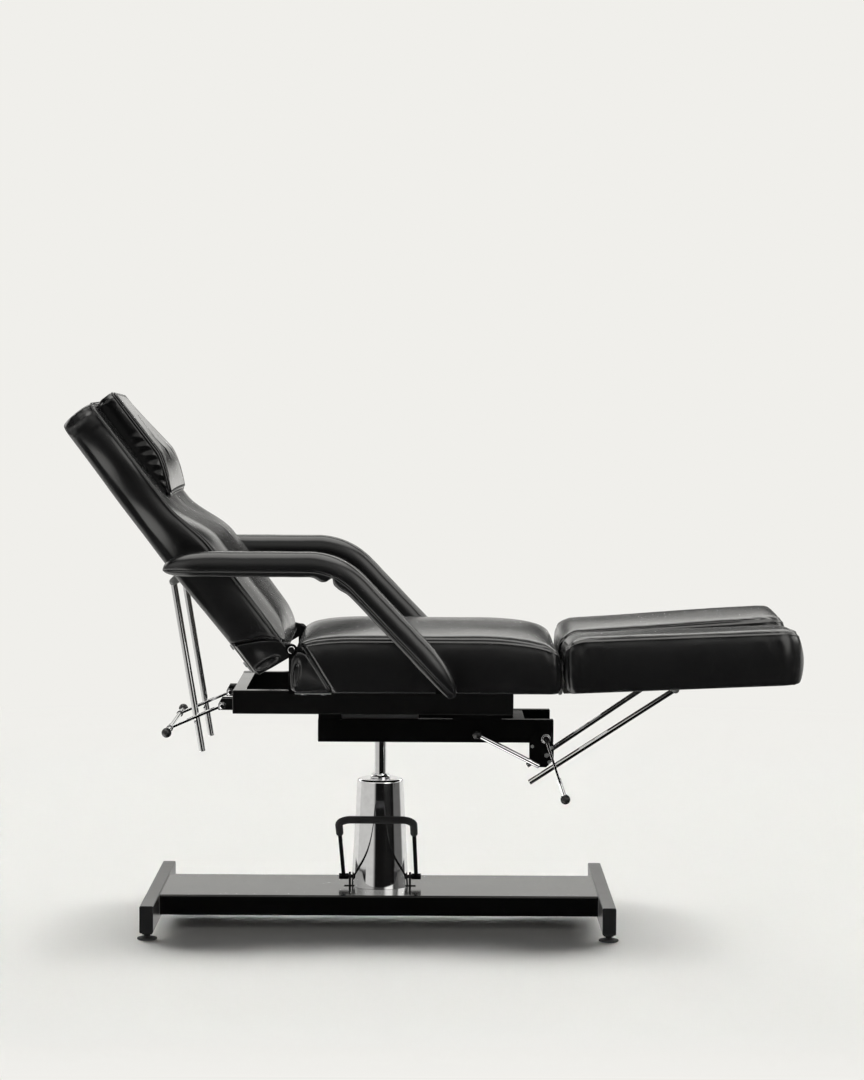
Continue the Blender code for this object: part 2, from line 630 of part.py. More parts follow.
def build_frames(turn):
    socket = PISTON_RADIUS + RUN
    hub = turned([
        (socket, LOWER_FRAME_BOTTOM),
        (HUB_RADIUS, LOWER_FRAME_BOTTOM),
        (HUB_RADIUS, LOWER_FRAME_TOP),
        (0, LOWER_FRAME_TOP),
        (0, PISTON_TOP + GAP),
        (socket, PISTON_TOP + GAP),
    ])
    piece("swivel_hub", hub, turn, "black_paint")
    plate_low = LOWER_FRAME_TOP + GAP
    mount = block((-MOUNT_PLATE_HALF_LENGTH, -MOUNT_PLATE_HALF_WIDTH, plate_low),
                  (MOUNT_PLATE_HALF_LENGTH, MOUNT_PLATE_HALF_WIDTH, plate_low + MOUNT_PLATE_THICKNESS), 0.002)
    piece("mounting_plate", mount, turn, "grey_paint")

    def rail(side, half_width, rear, front, low, high):
        return sided(side, (rear, half_width - TUBE_WIDTH, low), (front, half_width, high), 0.002)

    inner = LOWER_FRAME_HALF_WIDTH - TUBE_WIDTH / 2
    low, high = LOWER_FRAME_BOTTOM + WELD, LOWER_FRAME_TOP - WELD
    front_cross = LOWER_FRAME_FRONT - FRONT_CROSS_FROM_END
    crosses = [(LOWER_FRAME_REAR + WELD, TUBE_WIDTH), (-HUB_CROSS_FROM_AXIS - TUBE_WIDTH, TUBE_WIDTH),
               (HUB_CROSS_FROM_AXIS, TUBE_WIDTH), (front_cross - TUBE_WIDTH, TUBE_WIDTH)]
    rails = [rail(side, LOWER_FRAME_HALF_WIDTH, LOWER_FRAME_REAR, LOWER_FRAME_FRONT,
                  LOWER_FRAME_BOTTOM, LOWER_FRAME_TOP) for side in (-1, 1)]
    joined = [block((x, -inner, low), (x + width, inner, high)) for x, width in crosses]
    spacers = [(LOWER_FRAME_REAR + WELD, REAR_SPACER_LENGTH), (FRONT_SPACER_REAR, FRONT_SPACER_LENGTH)]
    joined += [block((x, WELD - LOWER_FRAME_HALF_WIDTH, LOWER_FRAME_TOP - 2 * WELD),
                     (x + length, LOWER_FRAME_HALF_WIDTH - WELD, UPPER_FRAME_BOTTOM))
               for x, length in spacers]
    shaft_bore = bar_y(LEVER_X, LEVER_Z, LEVER_SHAFT_RADIUS + RUN, -0.2, 0.2)
    piece("lower_frame", combine(rails[0], [rails[1]] + joined, [shaft_bore]), turn, "black_paint")

    rails = [rail(side, UPPER_FRAME_HALF_WIDTH, UPPER_FRAME_REAR, UPPER_FRAME_FRONT,
                  UPPER_FRAME_BOTTOM, UPPER_FRAME_TOP) for side in (-1, 1)]
    inner = UPPER_FRAME_HALF_WIDTH - TUBE_WIDTH / 2
    middle_of_front = FRONT_SPACER_REAR + FRONT_SPACER_LENGTH / 2
    crosses = [(UPPER_FRAME_REAR + WELD, REAR_CROSS_WIDTH),
               (LOWER_FRAME_REAR + 2 * WELD, REAR_SPACER_LENGTH - 2 * WELD),
               (middle_of_front - TUBE_WIDTH, 2 * TUBE_WIDTH)]
    joined = [block((x, -inner, UPPER_FRAME_BOTTOM + GAP), (x + width, inner, UPPER_FRAME_TOP - WELD))
              for x, width in crosses]
    ear_gap = LOCK_WIDTH / 2 + 2 * GAP
    for side in SIDES.values():
        for edge in (-1, 1):
            inner_y = side * BACK_ROD_Y + edge * ear_gap
            outer_y = inner_y + edge * BRACKET_EAR
            y_low, y_high = sorted((inner_y, outer_y))
            outline = [(UPPER_FRAME_REAR + 3 * WELD, HANDLE_PIVOT_Z - BRACKET_BOTTOM),
                       (UPPER_FRAME_REAR + 3 * WELD, HANDLE_PIVOT_Z + BRACKET_TOP),
                       (HANDLE_PIVOT_X - 0.002, HANDLE_PIVOT_Z + BRACKET_TOP),
                       (HANDLE_PIVOT_X - HANDLE_EYE_RADIUS, HANDLE_PIVOT_Z + 0.004),
                       (HANDLE_PIVOT_X - HANDLE_EYE_RADIUS, HANDLE_PIVOT_Z - BRACKET_BOTTOM)]
            joined.append(plate(outline, y_low, y_high))
        reach = ear_gap + BRACKET_EAR + 0.002
        joined.append(bar_y(HANDLE_PIVOT_X, HANDLE_PIVOT_Z, HANDLE_PIN_RADIUS,
                            side * BACK_ROD_Y - reach, side * BACK_ROD_Y + reach, 16))
    piece("upper_frame", combine(rails[0], [rails[1]] + joined), turn, "black_paint")


# Seat

def arm_pin():
    """Slot middle about the armrest's pivot, direction of the slot, and the pin's place in the chair."""
    slope = math.radians(ARM_SLOPE)
    tip = math.radians(ARM_TIP_SLOPE)
    middle = Vector((ARM_RUN, 0, ARM_RISE))
    middle += Vector((math.cos(slope), 0, -math.sin(slope))) * ARM_SLOPE_LENGTH
    middle += Vector((math.cos(tip), 0, -math.sin(tip))) * ARM_SLOT_FROM_TIP_BEND
    along = middle.normalized()
    pivot_x, pivot_z = world_place((BACK_HINGE_X, BACK_HINGE_Z), BACK_TURN, ARM_PIVOT)
    pin = Vector((pivot_x, 0, pivot_z)) + middle + along * ARM_PIN_AHEAD
    return middle, along, (pin.x, pin.z)


def build_seat(turn):
    board_top = SEAT_BOARD_BOTTOM + BOARD_THICKNESS
    corner_low = (SEAT_REAR + BOARD_INSET, -BOARD_HALF_WIDTH, SEAT_BOARD_BOTTOM)
    corner_high = (SEAT_FRONT - BOARD_INSET, BOARD_HALF_WIDTH, board_top)
    piece("seat_board", block(corner_low, corner_high), turn, "plywood")

    body = cushion(SEAT_LENGTH, 2 * SEAT_HALF_WIDTH, SEAT_SIDE, SEAT_CROWN, CORNER, CORNER, 0.003)
    body = moved(body, (SEAT_REAR, 0, SEAT_BOTTOM))
    pocket = block([value - GAP for value in corner_low], [value + GAP for value in corner_high])
    rear = SEAT_REAR - 0.02
    tuck = [(rear, SEAT_BOTTOM - 0.01), (SEAT_REAR + 0.090, SEAT_BOTTOM - 0.01),
            (SEAT_REAR + 0.030, SEAT_BOTTOM + 0.090), (SEAT_REAR + 0.016, SEAT_BOTTOM + 0.108),
            (rear, SEAT_BOTTOM + 0.125)]
    wall = SEAT_HALF_WIDTH - TUCK_DEPTH
    tucks = [plate(tuck, *sorted((side * wall, side * (SEAT_HALF_WIDTH + 0.02)))) for side in SIDES.values()]
    piece("seat_cushion", combine(body, cut=[pocket] + tucks), turn, "leather")

    iron_low = SEAT_BOARD_BOTTOM - GAP - SEAT_IRON_THICKNESS
    iron_inner = UPPER_FRAME_HALF_WIDTH + 0.004
    px, pz = arm_pin()[2]
    for name, side in SIDES.items():
        foot = sided(side, (SEAT_REAR + 0.004, iron_inner, iron_low),
                     (SEAT_REAR + SEAT_IRON_LENGTH, EAR_OUTER_Y, iron_low + SEAT_IRON_THICKNESS))
        x, z = BACK_HINGE_X, BACK_HINGE_Z
        eye = [(x + HINGE_EYE_RADIUS * math.cos(a), z + HINGE_EYE_RADIUS * math.sin(a))
               for a in (i * math.pi / 8 for i in range(9))]
        outline = [(SEAT_REAR + 0.030, iron_low), (SEAT_REAR + 0.030, iron_low + 0.012),
                   (x + EAR_HALF_WIDTH, iron_low + 0.030)] + eye
        outline += [(x - EAR_HALF_WIDTH, iron_low + 0.030), (x - EAR_HALF_WIDTH + 0.004, iron_low)]
        ear = plate(outline, *sorted((side * EAR_INNER_Y, side * EAR_OUTER_Y)))
        pin = bar_y(x, z, HINGE_PIN_RADIUS,
                    *sorted((side * STRAP_INNER_Y, side * (EAR_INNER_Y + EAR_THICKNESS / 2))), 16)
        head = bar_y(x, z, HINGE_HEAD_RADIUS,
                     *sorted((side * (EAR_OUTER_Y - EAR_THICKNESS / 2), side * (EAR_OUTER_Y + HINGE_HEAD_HEIGHT))),
                     12)
        piece("seat_hinge_" + name, combine(foot, [ear, pin, head]), turn, "zinc")

        arm_foot = sided(side, (px - ARM_IRON_HALF_WIDTH, iron_inner, iron_low),
                         (px + ARM_IRON_HALF_WIDTH, ARM_IRON_Y + ARM_IRON, iron_low + SEAT_IRON_THICKNESS))
        tongue = plate([(px - ARM_IRON_HALF_WIDTH, iron_low), (px + ARM_IRON_HALF_WIDTH, iron_low),
                        (px + ARM_IRON_HALF_WIDTH, pz), (px + 0.008, pz + 0.012), (px - 0.008, pz + 0.012),
                        (px - ARM_IRON_HALF_WIDTH, pz)],
                       *sorted((side * ARM_IRON_Y, side * (ARM_IRON_Y + ARM_IRON))))
        stud = bar_y(px, pz, ARM_PIN_RADIUS,
                     *sorted((side * (ARM_IRON_Y + ARM_IRON / 2), side * (ARM_PAD_INNER_Y - 2 * GAP))), 16)
        piece("armrest_guide_" + name, combine(arm_foot, [tongue, stud]), turn, "zinc")


# Back

def build_back(turn):
    hinge = axis_point("back_hinge", turn, (BACK_HINGE_X, 0, BACK_HINGE_Z), BACK_TURN)
    stand = Matrix(((0, 0, 1, 0), (0, 1, 0, 0), (1, 0, 0, 0), (0, 0, 0, 1)))
    flip = Matrix.Diagonal((1, -1, 1, 1))

    def upright(mesh, rear, low):
        """Stand a cushion made flat on its end, its top facing the sitter."""
        mesh.transform(flip @ stand)
        return moved(mesh, (rear, 0, low))

    board_low = (BACK_REAR, -BOARD_HALF_WIDTH, BACK_LOW + BOARD_INSET / 2)
    board_high = (BACK_REAR + BOARD_THICKNESS, BOARD_HALF_WIDTH, BACK_LOW + BACK_LENGTH - BOARD_INSET)
    piece("back_board", block(board_low, board_high), hinge, "plywood")

    def depth(along):
        return 1 - (1 - BACK_UPPER_SHARE) * smooth_step(0.40, 0.60, along)

    def fullness(along):
        return 1 - (1 - BACK_UPPER_CROWN) * smooth_step(0.40, 0.60, along)

    body = cushion(BACK_LENGTH, 2 * SEAT_HALF_WIDTH, BACK_SIDE, BACK_CROWN, CORNER, 1.6 * CORNER, 0.003,
                   depth, fullness)
    body = upright(body, BACK_REAR + BOARD_PROUD, BACK_LOW)
    pocket = block([value - GAP for value in board_low], [value + GAP for value in board_high])
    tuck = [(BACK_REAR - 0.01, 0.093), (BACK_REAR + 0.060, 0.056), (HINGE_EYE_RADIUS + 0.003, 0.008),
            (HINGE_EYE_RADIUS + 0.003, -0.02), (BACK_REAR - 0.01, -0.02)]
    wall = SEAT_HALF_WIDTH - TUCK_DEPTH
    tucks = [plate(tuck, *sorted((side * wall, side * (SEAT_HALF_WIDTH + 0.02)))) for side in SIDES.values()]
    piece("back_cushion", combine(body, cut=[pocket] + tucks), hinge, "leather")

    def wedge(along):
        return 0.25 + 0.75 * smooth_step(-0.10, 0.34, along)

    pillow = cushion(PILLOW_LENGTH, 2 * PILLOW_HALF_WIDTH, PILLOW_SIDE, PILLOW_CROWN, CORNER, CORNER, 0.004,
                     wedge, wedge)
    seat_of_pillow = BACK_REAR + BOARD_PROUD + BACK_UPPER_SHARE * BACK_SIDE + BACK_UPPER_CROWN * BACK_CROWN + GAP
    piece("head_pillow", upright(pillow, seat_of_pillow, PILLOW_LOW), hinge, "leather")

    for name, side in SIDES.items():
        eye = [(HINGE_EYE_RADIUS * math.cos(a), HINGE_EYE_RADIUS * math.sin(a))
               for a in (math.pi * (i / 8 - 0.72) for i in range(9))]
        outline = eye + [(BACK_REAR + 0.058, 0.050), (BACK_REAR + 0.002, 0.078), (BACK_REAR + 0.002, 0.016)]
        strap = plate(outline, *sorted((side * STRAP_INNER_Y, side * STRAP_OUTER_Y)))
        bore = bar_y(0, 0, HINGE_PIN_RADIUS + RUN, -1, 1, 16)
        piece("back_strap_" + name, combine(strap, cut=[bore]), hinge, "black_paint")

        n, up = BACK_ROD_PIVOT
        clevis = clevis_mesh(side * BACK_ROD_Y, BACK_REAR - GAP - n)
        clevis.transform(Matrix.Rotation(math.pi / 2, 4, "Y"))
        piece("back_clevis_" + name, moved(clevis, (n, 0, up)), hinge, "zinc")

        an, aup = ARM_PIVOT
        rear = BACK_REAR - GAP - ARM_IRON
        foot = sided(side, (rear, BOARD_HALF_WIDTH - 0.035, aup - ARM_IRON_HALF_WIDTH),
                     (rear + ARM_IRON, ARM_IRON_Y + ARM_IRON, aup + ARM_IRON_HALF_WIDTH))
        nose = [(an + ARM_IRON_HALF_WIDTH * math.sin(a), aup + ARM_IRON_HALF_WIDTH * math.cos(a))
                for a in (i * math.pi / 8 for i in range(9))]
        tongue = plate([(rear, aup + ARM_IRON_HALF_WIDTH)] + nose + [(rear, aup - ARM_IRON_HALF_WIDTH)],
                       *sorted((side * ARM_IRON_Y, side * (ARM_IRON_Y + ARM_IRON))))
        stud = bar_y(an, aup, ARM_PIVOT_RADIUS,
                     *sorted((side * (ARM_IRON_Y + ARM_IRON / 2), side * (ARM_PAD_INNER_Y - 2 * GAP))), 16)
        piece("armrest_pivot_" + name, combine(foot, [tongue, stud]), hinge, "zinc")
    return hinge


def clevis_mesh(y, height):
    """A rod pivot: two ears and their pin at the origin, under a foot at the given height."""
    inner = EYE_WIDTH / 2 + CLEVIS_EAR_GAP
    outer = inner + CLEVIS_EAR
    foot = block((-CLEVIS_LENGTH / 2, y - outer, height - CLEVIS_FOOT), (CLEVIS_LENGTH / 2, y + outer, height))
    ears = []
    for edge in (-1, 1):
        y_low, y_high = sorted((y + edge * inner, y + edge * outer))
        round_end = [(EYE_RADIUS * math.cos(a), -EYE_RADIUS * math.sin(a))
                     for a in (i * math.pi / 8 for i in range(9))]
        top = height - CLEVIS_FOOT / 2
        ears.append(plate(round_end + [(-0.4 * CLEVIS_LENGTH, top), (0.4 * CLEVIS_LENGTH, top)], y_low, y_high))
    pin = bar_y(0, 0, PIVOT_RADIUS, y - outer - 0.002, y + outer + 0.002, 12)
    return combine(foot, ears + [pin])


def rod_mesh(y, length):
    """A support rod hanging from its eye at the origin."""
    eye = bar_y(0, 0, EYE_RADIUS, y - EYE_WIDTH / 2, y + EYE_WIDTH / 2)
    stem = turned([
        (0, -length),
        (ROD_RADIUS - 0.0015, -length),
        (ROD_RADIUS, 0.0015 - length),
        (ROD_RADIUS, -0.6 * EYE_RADIUS),
        (0, -0.6 * EYE_RADIUS),
    ], 16)
    bore = bar_y(0, 0, PIVOT_RADIUS + RUN, y - EYE_WIDTH, y + EYE_WIDTH, 12)
    return combine(eye, [moved(stem, (0, y, 0))], [bore])


def knob_mesh():
    """A ball knob with its socket, on +Z of the bar's end."""
    hole = HANDLE_BAR_RADIUS + GAP
    start = math.asin(hole / KNOB_RADIUS)
    ball = [(KNOB_RADIUS * math.sin(a), -KNOB_RADIUS * math.cos(a))
            for a in (start + (math.pi - start) * i / 9 for i in range(10))]
    ball[-1] = (0, KNOB_RADIUS)
    floor = -KNOB_RADIUS * math.cos(start) + KNOB_SOCKET
    return turned([(0, floor), (hole, floor)] + ball, 16)


def build_back_rods(hinge):
    pivot = world_place((BACK_HINGE_X, BACK_HINGE_Z), BACK_TURN, BACK_ROD_PIVOT)
    drop = math.radians(HANDLE_DROP)
    lock = (HANDLE_PIVOT_X - BACK_LOCK_AT * math.cos(drop), HANDLE_PIVOT_Z - BACK_LOCK_AT * math.sin(drop))
    n, up = BACK_ROD_PIVOT
    hang = axis_point("back_rod_axis", hinge, (n, 0, up), hang_angle(pivot, lock) - BACK_TURN)
    for name, side in SIDES.items():
        piece("back_rod_" + name, rod_mesh(side * BACK_ROD_Y, BACK_ROD_LENGTH), hang, "chrome")


def lock_plate(y, length, tail_width, slot_at, slot_length, eye_radius):
    """A lock lever hanging from the origin: a flat bar with a slot for the rod, narrowing to its tail."""
    wide = LOCK_WIDTH / 2
    waist = slot_at + slot_length / 2 + 0.010
    tail = tail_width / 2
    outline = [(-wide, -0.4 * eye_radius), (wide, -0.4 * eye_radius), (wide, -waist)]
    if length > waist:
        narrowing = min(waist + 0.015, (waist + length) / 2)
        outline += [(tail, -narrowing), (tail, -length), (-tail, -length), (-tail, -narrowing)]
    outline.append((-wide, -waist))
    half = LOCK_THICKNESS / 2
    bar = loft([[(x, y + across, z) for across, z in outline] for x in (-half, half)])
    slot_half = ROD_RADIUS + LOCK_SLOT_CLEARANCE
    slot = block((-0.01, y - slot_half, -slot_at - slot_length / 2), (0.01, y + slot_half, -slot_at + slot_length / 2))
    return bar, slot


def build_release_handle(turn):
    drop = math.radians(HANDLE_DROP)
    pivot = axis_point("release_axis", turn, (HANDLE_PIVOT_X, 0, HANDLE_PIVOT_Z), math.pi / 2 - drop)
    knob_end = HANDLE_KNOB_Y - KNOB_RADIUS + KNOB_SOCKET
    crossbar = bar_y(0, -HANDLE_ARM, HANDLE_BAR_RADIUS, -knob_end, knob_end, 16)
    parts = []
    cuts = []
    for side in SIDES.values():
        y = side * BACK_ROD_Y
        bar, slot = lock_plate(y, HANDLE_ARM, LOCK_WIDTH, BACK_LOCK_AT, BACK_LOCK_SLOT, HANDLE_EYE_RADIUS)
        eye = bar_y(0, 0, HANDLE_EYE_RADIUS, y - LOCK_WIDTH / 2, y + LOCK_WIDTH / 2)
        parts += [bar, eye]
        cuts += [slot, bar_y(0, 0, HANDLE_PIN_RADIUS + RUN, y - LOCK_WIDTH, y + LOCK_WIDTH, 16)]
    piece("release_handle", combine(crossbar, parts, cuts), pivot, "chrome")
    for name, side in SIDES.items():
        knob = knob_mesh()
        knob.transform(Matrix.Rotation(-side * math.pi / 2, 4, "X"))
        piece("release_knob_" + name, moved(knob, (0, side * HANDLE_KNOB_Y, -HANDLE_ARM)), pivot, "black_plastic")


# Leg rests

def build_legs(turn):
    levers = lever_axes(turn)
    for name, side in SIDES.items():
        angle = -math.radians(LEG_ANGLE[name])
        middle = side * (LEG_INNER_Y + LEG_WIDTH / 2)
        build_leg_hinge_half(turn, name, middle)
        hinge = axis_point("leg_hinge_axis_" + name, turn, (LEG_HINGE_X, 0, LEG_HINGE_Z), angle)
        board_bottom = LEG_HINGE_BELOW_BOARD
        board_low = (LEG_BOARD_START, middle - LEG_WIDTH / 2 + BOARD_INSET, board_bottom)
        board_high = (LEG_START + LEG_LENGTH - BOARD_INSET, middle + LEG_WIDTH / 2 - BOARD_INSET,
                      board_bottom + BOARD_THICKNESS)
        piece("leg_board_" + name, block(board_low, board_high), hinge, "plywood")

        body = cushion(LEG_LENGTH, LEG_WIDTH, LEG_SIDE, LEG_CROWN, CORNER, LEG_END_CORNER, 0.002)
        body = moved(body, (LEG_START, middle, board_bottom + BOARD_PROUD))
        pocket = block([value - GAP for value in board_low], [value + GAP for value in board_high])
        piece("leg_cushion_" + name, combine(body, cut=[pocket]), hinge, "leather")

        leaf_top = board_bottom - GAP
        leaf = block((KNUCKLE_RADIUS + 0.0012, middle - LEAF_HALF_WIDTH, leaf_top - LEAF_THICKNESS),
                     (LEAF_LENGTH, middle + LEAF_HALF_WIDTH, leaf_top))
        inner = LEAF_HALF_WIDTH - KNUCKLE_LENGTH - 2 * GAP
        tongue = block((0, middle - inner, leaf_top - LEAF_THICKNESS), (LEAF_LENGTH / 2, middle + inner, leaf_top))
        knuckle = bar_y(0, 0, KNUCKLE_RADIUS, middle - inner, middle + inner, 16)
        bore = bar_y(0, 0, KNUCKLE_PIN_RADIUS + RUN, middle - 1, middle + 1, 16)
        piece("leg_leaf_" + name, combine(leaf, [tongue, knuckle], [bore]), hinge, "zinc")

        x, z = LEG_ROD_PIVOT
        clevis = clevis_mesh(side * LEG_ROD_Y, board_bottom - GAP - z)
        piece("leg_clevis_" + name, moved(clevis, (x, 0, z)), hinge, "zinc")

        pivot = world_place((LEG_HINGE_X, LEG_HINGE_Z), angle, LEG_ROD_PIVOT)
        lean = math.radians(LEVER_LEAN)
        lock = (LEVER_X + LEG_LOCK_AT * math.sin(lean), LEVER_Z - LEG_LOCK_AT * math.cos(lean))
        hang = axis_point("leg_rod_axis_" + name, hinge, (x, 0, z), hang_angle(pivot, lock) - angle)
        piece("leg_rod_" + name, rod_mesh(side * LEG_ROD_Y, LEG_ROD_LENGTH), hang, "chrome")
    build_near_lever(levers["near"])
    build_far_lever(levers["far"])


def build_leg_hinge_half(turn, name, middle):
    """Seat half of a leg hinge: a leaf with two end knuckles and the pin between them."""
    leaf_top = SEAT_BOARD_BOTTOM - GAP
    x, z = LEG_HINGE_X, LEG_HINGE_Z
    leaf = block((x - LEAF_LENGTH, middle - LEAF_HALF_WIDTH, leaf_top - LEAF_THICKNESS),
                 (x - KNUCKLE_RADIUS - 0.0012, middle + LEAF_HALF_WIDTH, leaf_top))
    pin = bar_y(x, z, KNUCKLE_PIN_RADIUS, middle - LEAF_HALF_WIDTH + 0.004, middle + LEAF_HALF_WIDTH - 0.004, 16)
    parts = [pin]
    for edge in (-1, 1):
        outer = middle + edge * LEAF_HALF_WIDTH
        inner = outer - edge * KNUCKLE_LENGTH
        y_low, y_high = sorted((inner, outer))
        parts.append(bar_y(x, z, KNUCKLE_RADIUS, y_low, y_high, 16))
        parts.append(block((x - LEAF_LENGTH / 2, y_low, leaf_top - LEAF_THICKNESS), (x, y_high, leaf_top)))
    piece("leg_hinge_" + name, combine(leaf, parts), turn, "zinc")


def lever_axes(turn):
    lean = -math.radians(LEVER_LEAN)
    return {name: axis_point("leg_lever_axis_" + name, turn, (LEVER_X, 0, LEVER_Z), lean) for name in SIDES}


def lever_boss(side):
    low = LEG_ROD_Y - LEVER_BOSS_LENGTH / 2
    return bar_y(0, 0, LEVER_BOSS_RADIUS, *sorted((side * low, side * (low + LEVER_BOSS_LENGTH))))


def build_near_lever(pivot):
    y = -LEG_ROD_Y
    stem_end = LEVER_ARM - KNOB_RADIUS + KNOB_SOCKET
    bar, slot = lock_plate(y, stem_end - 0.015, LEVER_TAIL_WIDTH, LEG_LOCK_AT, LEG_LOCK_SLOT, LEVER_BOSS_RADIUS)
    stem = turned([(0, -stem_end), (HANDLE_BAR_RADIUS, -stem_end), (HANDLE_BAR_RADIUS, 0.024 - stem_end),
                   (0, 0.030 - stem_end)], 16)
    bore = bar_y(0, 0, LEVER_SHAFT_RADIUS + RUN, -1, 1)
    lever = combine(lever_boss(-1), [bar, moved(stem, (0, y, 0))], [slot, bore])
    piece("near_lever", lever, pivot, "chrome")
    knob = knob_mesh()
    knob.transform(Matrix.Rotation(math.pi, 4, "X"))
    piece("near_lever_knob", moved(knob, (0, y, -LEVER_ARM)), pivot, "black_plastic")


def build_far_lever(pivot):
    lean = math.radians(LEVER_LEAN)

    def local(point):
        """A place about the plumb lever shaft, seen from the lever's own leaning frame."""
        return turned_about_y(point, lean)

    length = LEG_LOCK_AT + LEG_LOCK_SLOT / 2 + 0.009
    bar, slot = lock_plate(LEG_ROD_Y, length, LOCK_WIDTH, LEG_LOCK_AT, LEG_LOCK_SLOT, LEVER_BOSS_RADIUS)
    near_end = -(LEG_ROD_Y + LEVER_BOSS_LENGTH / 2 + 0.002)
    shaft = bar_y(0, 0, LEVER_SHAFT_RADIUS, near_end, LEG_ROD_Y + LEVER_BOSS_LENGTH / 2 - 0.002)
    piece("far_lever_shaft", combine(lever_boss(1), [shaft, bar], [slot]), pivot, "chrome")

    end_x, end_z = FAR_BAR_END
    crank = [(0.011, 0.012), (0.011, -0.045), (end_x + 0.010, end_z - 0.005), (end_x - 0.009, end_z - 0.005),
             (end_x - 0.019, end_z + 0.010), (end_x - 0.019, -0.010), (-0.021, 0.012)]
    inner = LOWER_FRAME_HALF_WIDTH + CRANK_FROM_RAIL
    outer = inner + CRANK_THICKNESS
    body = plate([local(point) for point in crank], -outer, -inner)
    bore = bar_y(0, 0, LEVER_SHAFT_RADIUS + GAP, -1, 1)
    piece("far_lever_crank", combine(body, cut=[bore]), pivot, "black_paint")

    y = -(outer + GAP + FAR_BAR_RADIUS)
    start = Vector((local(FAR_BAR_END)[0], 0, local(FAR_BAR_END)[1]))
    finish = Vector((local(FAR_BAR_KNOB)[0], 0, local(FAR_BAR_KNOB)[1]))
    along = (finish - start).normalized()
    stop = finish - along * (KNOB_RADIUS - KNOB_SOCKET)
    seat = stop - along * 1.5 * KNOB_RADIUS
    radii = [(start, 0.6 * FAR_BAR_RADIUS), (start + along * 0.003, FAR_BAR_RADIUS), (seat, FAR_BAR_RADIUS),
             (seat + along * 0.002, HANDLE_BAR_RADIUS), (stop, HANDLE_BAR_RADIUS)]
    path = [place + Vector((0, y, 0)) for place, radius in radii]
    bar = loft(swept_rings(path, (0, 1, 0), [circle(radius, 16) for place, radius in radii]))
    piece("far_lever_bar", bar, pivot, "chrome")
    knob = knob_mesh()
    knob.transform(along.to_track_quat("Z", "Y").to_matrix().to_4x4())
    piece("far_lever_knob", moved(knob, finish + Vector((0, y, 0))), pivot, "black_plastic")


# Armrests

def arm_path():
    """Middle line of an armrest from its rear end, about its pivot, with the distance along it."""
    slope = math.radians(ARM_SLOPE)
    tip = math.radians(ARM_TIP_SLOPE)
    tangent = ARM_BEND * math.tan(slope / 2)
    points = [(-ARM_REAR + ARM_NOSE * share, ARM_RISE) for share in (0, 0.03, 0.10, 0.22, 0.45, 0.75, 1)]
    points.append(((ARM_RUN - tangent + ARM_NOSE - ARM_REAR) / 2, ARM_RISE))
    for i in range(7):
        angle = slope * i / 6
        points.append((ARM_RUN - tangent + ARM_BEND * math.sin(angle),
                       ARM_RISE - ARM_BEND * (1 - math.cos(angle))))
    corner = (ARM_RUN, ARM_RISE)
    down = (math.cos(slope), -math.sin(slope))
    for share in (0.62, 0.92):
        points.append((corner[0] + down[0] * ARM_SLOPE_LENGTH * share,
                       corner[1] + down[1] * ARM_SLOPE_LENGTH * share))
    bend = (corner[0] + down[0] * ARM_SLOPE_LENGTH, corner[1] + down[1] * ARM_SLOPE_LENGTH)
    for share in (0.15, 0.54, 0.78, 0.90, 0.97, 1.0):
        points.append((bend[0] + math.cos(tip) * ARM_TIP_LENGTH * share,
                       bend[1] - math.sin(tip) * ARM_TIP_LENGTH * share))
    distance = [0.0]
    for a, b in zip(points, points[1:]):
        distance.append(distance[-1] + math.dist(a, b))
    return [Vector((x, 0, z)) for x, z in points], distance


def nose(distance, length):
    """Share of the full depth near a round end."""
    t = min(max(distance / length, 0.0), 1.0)
    return max(math.sqrt(1 - (1 - t) ** 2), 0.12)


def build_armrests(hinge):
    path, distance = arm_path()
    total = distance[-1]
    n, up = ARM_PIVOT
    slot_middle, along, _ = arm_pin()
    for name, side in SIDES.items():
        pivot = axis_point("armrest_axis_" + name, hinge, (n, 0, up), -BACK_TURN)
        sections = []
        for s in distance:
            share = min(nose(s, ARM_NOSE), nose(total - s, ARM_TIP_NOSE))
            depth = ARM_PAD_DEPTH * share
            width = ARM_PAD_WIDTH * (0.55 + 0.45 * share)
            radius = 0.30 * min(depth, ARM_PAD_DEPTH)
            shift = side * (ARM_PAD_INNER_Y + width / 2)
            sections.append([(a, b + shift) for a, b in rounded(depth, width, radius, 3)])
        piece("armrest_pad_" + name, loft(swept_rings(path, (0, 1, 0), sections)), pivot, "leather")

        inner, outer = side * ARM_INNER_Y, side * (ARM_INNER_Y + ARM_BAR_THICKNESS)
        flats = []
        for s in distance[2:-2]:
            half = ARM_BAR_WIDTH / 2 * min(nose(s, ARM_NOSE), nose(total - s, ARM_TIP_NOSE))
            flats.append([(half, outer), (-half, outer), (-half, inner), (half, inner)])
        bar = loft(swept_rings(path[2:-2], (0, 1, 0), flats))
        bore = bar_y(0, 0, ARM_PIVOT_RADIUS + RUN, -1, 1, 16)
        radius = ARM_PIN_RADIUS + ARM_SLOT_CLEARANCE
        ends = [(slot_middle + along * ARM_SLOT_TRAVEL / 2, 0.0), (slot_middle - along * ARM_SLOT_TRAVEL / 2, math.pi)]
        heading = math.atan2(along.z, along.x) - math.pi / 2
        outline = [(end.x + radius * math.cos(heading + start + math.pi * i / 6),
                    end.z + radius * math.sin(heading + start + math.pi * i / 6))
                   for end, start in ends for i in range(7)]
        slot = plate(outline, *sorted((side * (ARM_INNER_Y - 0.01), side * (ARM_PAD_INNER_Y + 0.01))))
        piece("armrest_bar_" + name, combine(bar, cut=[bore, slot]), pivot, "black_paint")


